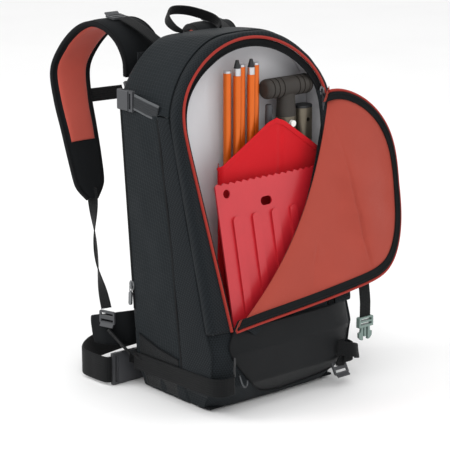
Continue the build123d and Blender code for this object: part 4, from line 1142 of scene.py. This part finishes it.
class BuildInside(bpy.types.Operator):
    """Grey divider and lining, and the red tool sleeve"""
    bl_idname = "backpack.inside"
    bl_label = "Tool compartment"

    def execute(self, context):
        self.divider()
        self.lining()
        self.sleeve()
        return {"FINISHED"}

    def divider(self):
        """Upright grey cloth as wide as the body, with one faint seam."""
        z = np.linspace(6.5, 490.0, 110)
        s = np.linspace(-1, 1, 90)[None, :]
        wide = outline_half(z, 900.0) - 4.5
        grid = lattice(wide[:, None] * s, DIVIDER_Y + 0.2, z[:, None])
        from_seam = s * 60 + 22 + (z[:, None] - 400) * 0.05
        grid[..., 1] += ripple(grid, 0.5, 50, 0.01) - 0.5 * np.exp(-((from_seam / 1.6) ** 2))
        divider = sheet("divider_cloth", grid, flip=True, thick=2.2)
        settle(divider, "grey_lining", "pack", "grey_lining", "divider_panel")

    def lining(self):
        """Side and top lining: the body outline taken in, from the divider to the opening."""
        outline = front_outline(220)
        low = np.stack((-half_width(np.linspace(66, 112, 12)), np.linspace(66, 112, 12)), -1)
        outline = np.vstack((low, outline, low[::-1] * (-1, 1)))
        normal = outline_normals(outline)
        inner = outline - normal * 5.0
        x, z = inner[:, 0], inner[:, 1]
        y_front = np.where(z > FRONT_FOOT[1], face_y(z) + 5.0, bulge_y(z) + 22.0)
        r = np.linspace(0, 1, 20)[None, :]
        y = y_front[:, None] * (1 - r) + (DIVIDER_Y - 0.2) * r
        grid = lattice(x[:, None], y, z[:, None])
        out = np.stack((normal[:, 0], np.zeros(len(normal)), normal[:, 1]), -1)
        grid = grid - out[:, None] * (0.8 * np.sin(math.pi * r))[..., None]
        grid = crown_limit(grid + np.array((0, 0, 5.0))) - np.array((0, 0, 5.0))
        wall = sheet("lining_wall", grid, flip=False, thick=1.0)
        fx = np.linspace(-1, 1, 40)[None, :] * 117
        fy = np.linspace(-92, DIVIDER_Y - 1, 30)[:, None]
        floor = lattice(fx, fy, 67.5)
        settle(join("lining_cloth", [wall, sheet("lining_floor", floor, flip=False, thick=1.2)]),
               "grey_lining", "pack", "grey_lining", "compartment_lining")

    def sleeve(self):
        """Red pocket: a front sheet that bellies over the tools, its hem rising to a point, with
        a stitched upright seam below the peak, and returns to the divider at both ends."""
        n, m = 130, 90
        x = np.linspace(SLEEVE_HEM[0, 0], SLEEVE_HEM[2, 0], n)
        hem = np.interp(x, *SLEEVE_HEM.T) - 4.0 * np.exp(-((x - SLEEVE_HEM[1, 0]) / 9) ** 2)
        r = np.linspace(0, 1, m)[None, :]
        z = SLEEVE_FOOT_Z * (1 - r) + hem[:, None] * r
        seam = np.exp(-(((x[:, None] - 47) / 5.0) ** 2))
        from_middle = np.abs(x[:, None] - 30)
        belly = 1.0 - (from_middle / 92) ** 4
        y = -30.6 + 1.4 * seam - 0.8 * belly
        y = y + np.maximum(from_middle - 84, 0) ** 1.6 * 0.35
        grid = lattice(x[:, None], y, z)
        grid[..., 1] += ripple(grid, 0.5, 60, 0.014)
        front = sheet("sleeve_front", grid, flip=False, thick=1.0)
        hem_path = np.stack((x, grid[:, -1, 1] - 0.2, hem - 2.5), -1)
        band = carry("sleeve_hem", hem_path, (0, 0, 1), flat_profile(7.0, 1.8))
        pieces = [front, band]
        for sx, slant in ((-60.0, 30.0), (119.4, 0.0)):
            share = np.linspace(0, 1, 12)[:, None]
            yy = -29.5 + (DIVIDER_Y + 28.7) * share
            top = np.interp(sx, *SLEEVE_HEM.T)
            zz = np.linspace(SLEEVE_FOOT_Z, top - 3, 40)[None, :]
            side = lattice(sx + slant * share, yy, zz)
            pieces.append(sheet("sleeve_side", side, flip=sx > 0, thick=0.8))
        settle(join("tool_sleeve_cloth", pieces), "red_cloth", "pack", "red_fabric", "tool_sleeve")


# ---- harness -----------------------------------------------------------------------------------

def cushion(name, half, middle, height, off_back):
    """Pad on the back face, 70 mm tall: its rise is the root of one minus the sixth power of a
    sixth-power distance from its middle."""
    z = np.linspace(middle - 35.0, middle + 35.0, 40)[:, None]
    x = np.linspace(-half, half, 80)[None, :]
    corner = (np.abs(x / half) ** 6 + np.abs((z - middle) / 35.0) ** 6) ** (1 / 6)
    puff = height * np.clip(1.0 - np.clip(corner, 0, 1) ** 6, 0, 1) ** 0.5
    y = back_y(z) + off_back
    return sheet(name, lattice(x, y + puff, z), flip=True, thick=1.0, back=lattice(x, y, z))


def strap_stations(side):
    """Centre line and width of a shoulder strap; the right one stands out less."""
    p = STRAP_PATH.copy()
    if side > 0:
        start = p[0].copy()
        p[:, 1] = start[1] + (p[:, 1] - start[1]) * 0.8
        p[:, 2] = np.where(p[:, 2] < start[2], p[:, 2], start[2] + (p[:, 2] - start[2]) * 0.72)
    p[:, 0] *= side
    return p


class BuildHarness(bpy.types.Operator):
    """Padded shoulder straps, yoke, back foam and adjuster webbing"""
    bl_idname = "backpack.harness"
    bl_label = "Back panel and harness"

    def execute(self, context):
        linings = []
        for side, name in ((-1, "left"), (1, "right")):
            path = smooth_path(strap_stations(side), 150)
            width = path[:, 3]
            end = np.linspace(0, 1, 150)
            taper = 1 - 0.55 * np.clip((end - 0.93) / 0.07, 0, 1) ** 2
            rings = np.stack([pad_profile(w * k, 11.0) for w, k in zip(width, taper)])
            pad = carry(f"strap_pad_{name}", path[:, :3], (1, 0, 0), rings)
            settle(pad, "dark_cloth", "back_panel", "dark_fabric", f"shoulder_strap_{name}")
            linings.append(self.face_cloth(path, width * taper))
            for edge in (-1, 1):
                rim = path[:, :3] + np.array((1.0, 0, 0)) * (edge * width * taper / 2)[:, None] * 0.985
                tag = "inner" if edge * side < 0 else "outer"
                edging = carry(f"strap_binding_{name}_{tag}", rim, (1, 0, 0), flat_profile(5.0, 8.0, 8))
                settle(edging, "binding", "back_panel", "dark_fabric")
            self.daisy(path, name)
        settle(join("strap_lining_cloth", linings), "strap_coral", "back_panel", "coral_fabric",
               "strap_linings")
        self.back()
        self.webbing()
        return {"FINISHED"}

    @staticmethod
    def pad_normal(path):
        """Unit normal of a strap's inner face: its direction of travel crossed with X."""
        normal = np.cross(np.gradient(path[:, :3], axis=0), np.array((1.0, 0, 0)))
        return normal / np.linalg.norm(normal, axis=1, keepdims=True)

    def face_cloth(self, path, width):
        """Cloth crowned over the pad's inner face, a few millimetres short of its edges."""
        normal = self.pad_normal(path)
        a = np.linspace(-1, 1, 24)[None, :]
        lift = 5.6 * (1 - 0.97 * np.abs(a) ** 6) ** 0.5 + 1.0
        shape = path[:, None, :3] + np.array((1.0, 0, 0)) * (a * (width / 2 - 5.5)[:, None])[..., None]
        grid = shape + normal[:, None] * lift[..., None]
        grid += normal[:, None] * ripple(grid, 0.25, 71, 0.012)[..., None]
        return sheet("strap_face", grid[6:118], flip=False, thick=1.0)

    def daisy(self, path, name):
        """Narrow webbing sewn down the outer face of a strap."""
        line = path[:, :3] - self.pad_normal(path) * 6.0
        rib = carry(f"strap_rib_{name}", line[48:146], (1, 0, 0), flat_profile(18.0, 1.6))
        settle(rib, "black_webbing", "back_panel", "webbing_black")

    def back(self):
        """Foam on the back panel: thickness falls to the edges by a seventh power of an eighth-power
        distance, less the sewn channels; then its cover, and the yoke where the straps meet."""
        n, m = 150, 110
        z = np.linspace(121.0, 469.0, n)[:, None]
        x = np.linspace(-103.0, 103.0, m)[None, :]
        corner = (np.abs(x / 103.0) ** 8 + np.abs((z - 295) / 174.0) ** 8) ** (1 / 8)
        thick = 12.6 * np.clip((1.0 - np.clip(corner, 0, 1) ** 7), 0, 1) ** 0.45
        groove = np.zeros_like(x * z)
        for gz in (187, 247, 307, 363):
            groove = np.maximum(groove, np.exp(-(((z - gz - 6 * np.abs(x) / 103) / 6.0) ** 4)))
        groove = np.maximum(groove, np.exp(-((x / 13.0) ** 6)) * np.ones_like(z))
        grid = lattice(x, back_y(z) + 0.6 + thick * (1 - 0.5 * groove), z)
        base = lattice(x, back_y(z) + 0.1, z)
        foam = sheet("back_pad", grid, flip=True, thick=1.0, back=base)
        settle(foam, "air_mesh", "back_panel", "foam", "back_foam")
        zc = np.linspace(115.0, 484.0, 120)
        wide = outline_half(zc, 400.0) - 12.0
        s = np.linspace(-1, 1, 80)[None, :]
        y = back_y(zc)[:, None] - 0.5 - 2.0 * np.abs(s) ** 12 - np.clip(zc - 470, 0, 20)[:, None] * 0.5
        cover = sheet("back_cover", lattice(wide[:, None] * s, y, zc[:, None]), flip=True, thick=2.4)
        settle(cover, "dark_cloth", "back_panel", "body_fabric", "back_panel")
        yoke = cushion("yoke_pad", 89.0, 432, 8.2, 13.2)
        settle(yoke, "dark_cloth", "back_panel", "foam", "yoke")

    def webbing(self):
        """Load lifters from the yoke to the straps, and adjuster webbing, half turned, from the
        straps' ends down to the locks."""
        lifters, lowers = [], []
        for side in (-1, 1):
            strap = strap_stations(side)
            near, far = strap[3, :3], strap[4, :3]
            lift = np.cross(far - near, (-1, 0, 0))
            lift /= np.linalg.norm(lift)
            seat = (near + far) / 2 + lift * 9.8
            top = seat - (far - near) / np.linalg.norm(far - near) * 12.5 + lift
            root = np.array((side * 62.0, back_y(474.0) + 3, 478.0))
            mid = (root + top) / 2 + np.array((0, 0, 2.0))
            lifters.append(carry("lifter", smooth_path([root, mid, top], 30), (1, 0, 0), flat_profile(WEB,
                    WEB_THICK)))
            end = strap[-1, :3]
            knee = np.array((side, 1, 1)) * KNEE
            a = end + np.array((-side * 1.5, 5.0, 11.0))
            b = (end + knee) / 2 + np.array((side * 3, 4, 0))
            c = knee + np.array((0, 2, 13))
            turn = np.linspace(0, math.pi, 40)[:, None]
            twist = np.array((0.3 * side, 1.0, 0.0)) * np.cos(turn) ** 2
            twist = twist + np.array((0.75, 0.66 * -side, 0.0)) * np.sin(turn) ** 2
            line = smooth_path([a, end + np.array((0, -1, -3)), b, c], 40)
            lowers.append(carry("lower", line, twist, flat_profile(18, WEB_THICK)))
        settle(join("lifter_straps", lifters), "black_webbing", "back_panel", "webbing_black", "lifter_webbing")
        low = join("adjuster_straps", lowers)
        low.data.materials.append(finish("black_webbing"))
        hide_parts("lower_webbing")
        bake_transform(low)


# ---- straps on the body ------------------------------------------------------------------------

class BuildStraps(bpy.types.Operator):
    """Hip belt, chest webbing, haul loop, side straps, loops and zip trims"""
    bl_idname = "backpack.straps"
    bl_label = "Straps and loops"

    def execute(self, context):
        self.hip_belt()
        self.sternum()
        self.haul_loop()
        self.side_straps()
        self.small_loops()
        self.back_zip()
        self.flap_strap()
        return {"FINISHED"}

    def hip_belt(self):
        """Belt webbing in a level ring behind the pack, its tail, and the lumbar pad with the two
        wrinkled wings that the belt comes out of."""
        path = smooth_path(np.column_stack((BELT_RING, np.full(len(BELT_RING), BELT_Z))), 160)
        belt = carry("belt", path, (0, 0, 1), flat_profile(38, 2.4))
        tail = smooth_path(((-82.4, 101, BELT_Z), (-72, 101, BELT_Z), (-60, 97, BELT_Z)), 16)
        tail = carry("tail", tail, (0, 0, 1), flat_profile(38, 2.4))
        settle(join("hip_webbing", [belt, tail]), "black_webbing", "hip_belt", "webbing_black", "hip_belt")
        pads = []
        for side in (-1, 1):
            p = smooth_path(WING * (side, 1, 1, 1), 60)
            rings = np.stack([pad_profile(w, 8.4, 26, 3.0) for w in p[:, 3]])
            creases = np.sin(np.arange(60) / 2.1)[:, None, None] * np.abs(np.sin(np.arange(26) / 3.0))[None, :,
                    None]
            rings = rings * np.concatenate((np.ones((60, 26, 1)), 1 + 0.12 * creases), -1)
            pads.append(carry("wing", p[:, :3], (0, 0, 1), rings))
        pads.append(cushion("pad", 103.0, 70, 11.6, 0.3))
        pad = join("lumbar_cushion", pads)
        settle(pad, "dark_cloth", "pack", "dark_fabric", "lumbar_pad")

    def sternum(self):
        """Two straight runs of chest webbing in a frame turned about X and then about Z."""
        turn, lean = math.radians(-6.0), math.radians(-28.0)
        rx = np.array(((1, 0, 0), (0, math.cos(lean), -math.sin(lean)), (0, math.sin(lean), math.cos(lean))))
        rz = np.array(((math.cos(turn), -math.sin(turn), 0), (math.sin(turn), math.cos(turn), 0), (0, 0, 1)))
        whole = rz @ rx
        parts = []
        for side in (-1, 1):
            line = lattice(np.linspace(side * 28, side * 84, 24), 0.0, 0.0) @ whole.T + (0, 224.2, 387.0)
            parts.append(carry("chest", line, whole[:, 2], flat_profile(WEB, WEB_THICK)))
        chest = join("chest_webbing", parts)
        settle(chest, "black_webbing", "sternum", "webbing_black", "sternum_webbing")

    def haul_loop(self):
        """Webbing arch on the crown, narrower at its sewn ends."""
        p = smooth_path(HAUL_LOOP, 90)
        rings = np.stack([flat_profile(max(w, 5.0), 3.0) for w in p[:, 3]])
        loop = carry("grab_loop", p[:, :3], (0, -0.5, 0.85), rings)
        settle(loop, "black_webbing", "haul_loop", "webbing_black", "haul_loop")

    def side_straps(self):
        """Webbing round the foot of each side, the anchor for the adjuster webbing, and the grey
        webbing that leads to the upper buckle."""
        parts, greys = [], []
        for side in (-1, 1):
            w = half_width(np.array(45.0)) + 4.2
            low = [(side * w, back_y(40.0) - 4, 40), (side * (w + 1.0), 20, 42), (side * (w + 0.6), -40, 43.5),
                   (side * w, -80, 44.5), (side * (w - 3.0), -98.0, 45), (side * (w - 12.0), -107.0, 45.5),
                   (side * (w - 28), -108.4, 46)]
            parts.append(carry("low", smooth_path(low, 90), (0, 0, 1), flat_profile(25, WEB_THICK)))
            knee = np.array((side, 1, 1)) * KNEE
            foot = np.array((side * (half_width(np.array(46.0)) + 4), 83.0, 46.0))
            stations = [knee + np.array((0, -1, -17.5)), (knee + foot) / 2 + np.array((0, 0, -9)), foot,
                        foot + np.array((-side * 2, -24, -8))]
            line = smooth_path(stations, 50)
            parts.append(carry("anchor", line, (0.1 * side, 1, 0.4), flat_profile(WEB, WEB_THICK)))
            x = SHOULDER_HALF + 2.2
            high = [(side * x, 0, 404), (side * (x + 2.5), 20, 408), (side * (x + 3.4), 34, 411),
                    (side * (x + 3.4), 47, 413)]
            greys.append(carry("high", smooth_path(high, 30), (0, 0, 1), flat_profile(22, WEB_THICK)))
        settle(join("body_webbing", parts), "black_webbing", "pack", "webbing_black", "side_straps")
        settle(join("buckle_webbing", greys), "grey_webbing", "pack", "webbing_grey")

    def small_loops(self):
        """Ski loop with its tail, and the cord loop for a tool."""
        x, y, z = 105.0, -108.0, 43.0
        stations = ((x - 16, y + 1, z + 14), (x, y - 11, z + 12), (x + 15, y - 8, z + 6), (x + 21.6, y + 7, z))
        loop = carry("ski_loop_web", smooth_path(stations, 40), (0, 0.2, 1), flat_profile(WEB, 2.2))
        tail = smooth_path(((104, -106.5, 47), (101, -105.0, 40), (98, -104.5, 34), (97, -104.0, 29)), 24)
        tail = carry("tail", tail, (1, 0, 0), flat_profile(16, 1.6))
        settle(join("ski_loop_cloth", [loop, tail]), "black_webbing", "pack", "webbing_black", "ski_loop")
        cord = bpy.data.curves.new("tool_cord_line", "CURVE")
        cord.dimensions = "3D"
        spline = cord.splines.new("NURBS")
        spline.points.add(len(TOOL_CORD) - 1)
        for point, place in zip(spline.points, TOOL_CORD):
            point.co = (*(c * MM for c in place), 1.0)
        spline.order_u = 3
        spline.use_endpoint_u = True
        cord.bevel_depth = CORD_THICK / 2 * MM
        cord.bevel_resolution = 3
        obj = place_mesh("tool_loop_cord", cord)
        cord.materials.append(finish("black_plastic"))
        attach(obj, "pack")
        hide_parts("tool_cord")

    def back_zip(self):
        """Tape and coil of the zip that runs up both rear edges, just outside the body's outline."""
        parts = []
        for side in (-1, 1):
            z = np.linspace(116.0, 436.0, 90)
            wide = outline_half(z, 400.0)
            line = np.stack((side * (wide + 0.9), back_y(z) - 10.5, z), -1)
            parts.append(carry("tape", line, (0, 1, 0), flat_profile(9.0, 1.4)))
            coil = line + np.array((side * 0.9, 0, 0))
            parts.append(carry("coil", coil, (0, 1, 0), flat_profile(3.0, 1.8)))
        settle(join("back_zip_cloth", parts), "zip_tape", "pack", "zip_tape", "back_zip_tape")

    def flap_strap(self):
        """Webbing that hangs from the folded panel, easing back towards its foot."""
        z = np.linspace(158.0, 92.0, 24)
        line = np.stack((np.full(24, 144.0), -104.5 + 7.0 * np.clip((z - 112.0) / 46.0, 0, 1) ** 1.2, z), -1)
        strap = carry("hold_down_strap", line, (1, 0, 0), flat_profile(WEB, WEB_THICK))
        settle(strap, "black_webbing", "flap_strap", "webbing_black", "flap_strap")


class FinishHardware(bpy.types.Operator):
    """Gives the moulded and metal pieces their finishes"""
    bl_idname = "backpack.hardware"
    bl_label = "Hardware finishes"

    def execute(self, context):
        for node, material in HARDWARE.items():
            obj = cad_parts[node]
            obj.data.materials.clear()
            obj.data.materials.append(finish(material))
        return {"FINISHED"}


# ---- stage -------------------------------------------------------------------------------------

class BuildStage(bpy.types.Operator):
    """Pale floor, soft studio lights and the camera"""
    bl_idname = "backpack.stage"
    bl_label = "Studio stage"

    def execute(self, context):
        style = context.scene.backpack
        line = np.linspace(-9000.0, 9000.0, 40)
        gx, gy = np.meshgrid(line, line, indexing="ij")
        floor = sheet("studio_floor", np.stack((gx, gy, np.full(gx.shape, -0.2)), -1), flip=False)
        paper = Finish("studio_paper", Roughness=0.9)
        speck = paper.noise(3.0, 2.0)
        paper.set("Base Color", paper.mix(speck, (0.86, 0.86, 0.86), (0.9, 0.9, 0.9)))
        floor.data.materials.append(paper.material)
        context.scene.view_settings.view_transform = "Standard"
        self.lights()
        self.camera(style)
        return {"FINISHED"}

    @staticmethod
    def lights():
        """White air and four soft lamps that look at the middle of the pack."""
        world = bpy.data.worlds.new("studio_air")
        world.use_nodes = True
        air = world.node_tree.nodes["Background"]
        air.inputs[0].default_value = (1, 1, 1, 1)
        air.inputs[1].default_value = 1.0
        bpy.context.scene.world = world
        for name, place, power, size in LAMPS:
            lamp = bpy.data.lights.new(name, "AREA")
            lamp.energy, lamp.size = power, size
            obj = bpy.data.objects.new(name, lamp)
            obj.location = place
            aim = np.array((0.0, 0.0, 0.25)) - np.array(place)
            obj.rotation_euler = Vector(aim).to_track_quat("-Z", "Y").to_euler()
            bpy.context.scene.collection.objects.link(obj)

    @staticmethod
    def camera(style):
        """Camera on a sphere round the pack, from its turn, lift and distance."""
        az, el, away = style.camera_turn, style.camera_lift, style.camera_distance
        back = Vector((math.sin(az) * math.cos(el), -math.cos(az) * math.cos(el), math.sin(el)))
        right = Vector((math.cos(az), math.sin(az), 0.0))
        up = back.cross(right)
        target = right * AIM[0] + up * AIM[1]
        lens = bpy.data.cameras.new("studio_camera")
        lens.sensor_width = 36.0
        lens.lens = 36.0 * away / VIEW_WIDTH
        lens.clip_end = 60.0
        obj = bpy.data.objects.new("studio_camera", lens)
        turn = Matrix((right, up, back)).transposed().to_4x4()
        obj.matrix_world = Matrix.Translation(target + back * away) @ turn
        bpy.context.scene.collection.objects.link(obj)
        bpy.context.scene.camera = obj


class BackpackSettings(bpy.types.PropertyGroup):
    """Sizes and colours that a user may change"""
    wall_bulge: bpy.props.FloatProperty(name="Wall bulge",
                                        description="How far a side wall stands out at its middle",
                                        default=0.0045, unit="LENGTH")
    camera_turn: bpy.props.FloatProperty(name="Camera turn", description="Camera direction round the pack",
                                         default=math.radians(-40.0), subtype="ANGLE")
    camera_lift: bpy.props.FloatProperty(name="Camera lift", description="Camera height angle",
                                         default=math.radians(15.0), subtype="ANGLE")
    camera_distance: bpy.props.FloatProperty(name="Camera distance", description="Distance from camera to pack",
                                             default=2.6, unit="LENGTH")
    cloth_colour: bpy.props.FloatVectorProperty(name="Cloth colour", description="Dark cloth of the body",
                                              subtype="COLOR", min=0.0, max=1.0, default=srgb(21, 26, 29))
    coral_colour: bpy.props.FloatVectorProperty(name="Lining colour", description="Lining of the folded panel",
                                              subtype="COLOR", min=0.0, max=1.0, default=srgb(160, 68, 56))
    sleeve_colour: bpy.props.FloatVectorProperty(name="Sleeve colour", description="Sleeve for the tools",
                                              subtype="COLOR", min=0.0, max=1.0, default=srgb(196, 20, 30))
    probe_colour: bpy.props.FloatVectorProperty(name="Probe colour", description="Tubes of the probe",
                                              subtype="COLOR", min=0.0, max=1.0, default=srgb(214, 100, 22))


class BackpackPanel(bpy.types.Panel):
    """Lists the build steps"""
    bl_idname = "VIEW3D_PT_backpack"
    bl_label = "Backpack"
    bl_space_type = "VIEW_3D"
    bl_region_type = "UI"
    bl_category = "Backpack"

    def draw(self, context):
        for prop in BackpackSettings.__annotations__:
            self.layout.prop(context.scene.backpack, prop)
        for step in STEPS:
            self.layout.operator(step.bl_idname)


STEPS = (BuildStage, BuildBody, BuildFrontPanel, BuildInside, BuildHarness, BuildStraps, FinishHardware)
CLASSES = (BackpackSettings, *STEPS, BackpackPanel)


def register():
    for cls in CLASSES:
        bpy.utils.register_class(cls)
    bpy.types.Scene.backpack = bpy.props.PointerProperty(type=BackpackSettings)


def unregister():
    del bpy.types.Scene.backpack
    for cls in reversed(CLASSES):
        bpy.utils.unregister_class(cls)


def main():
    """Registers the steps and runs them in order."""
    register()
    for step in STEPS:
        group, action = step.bl_idname.split(".")
        getattr(getattr(bpy.ops, group), action)()


if __name__ == "__main__":
    main()
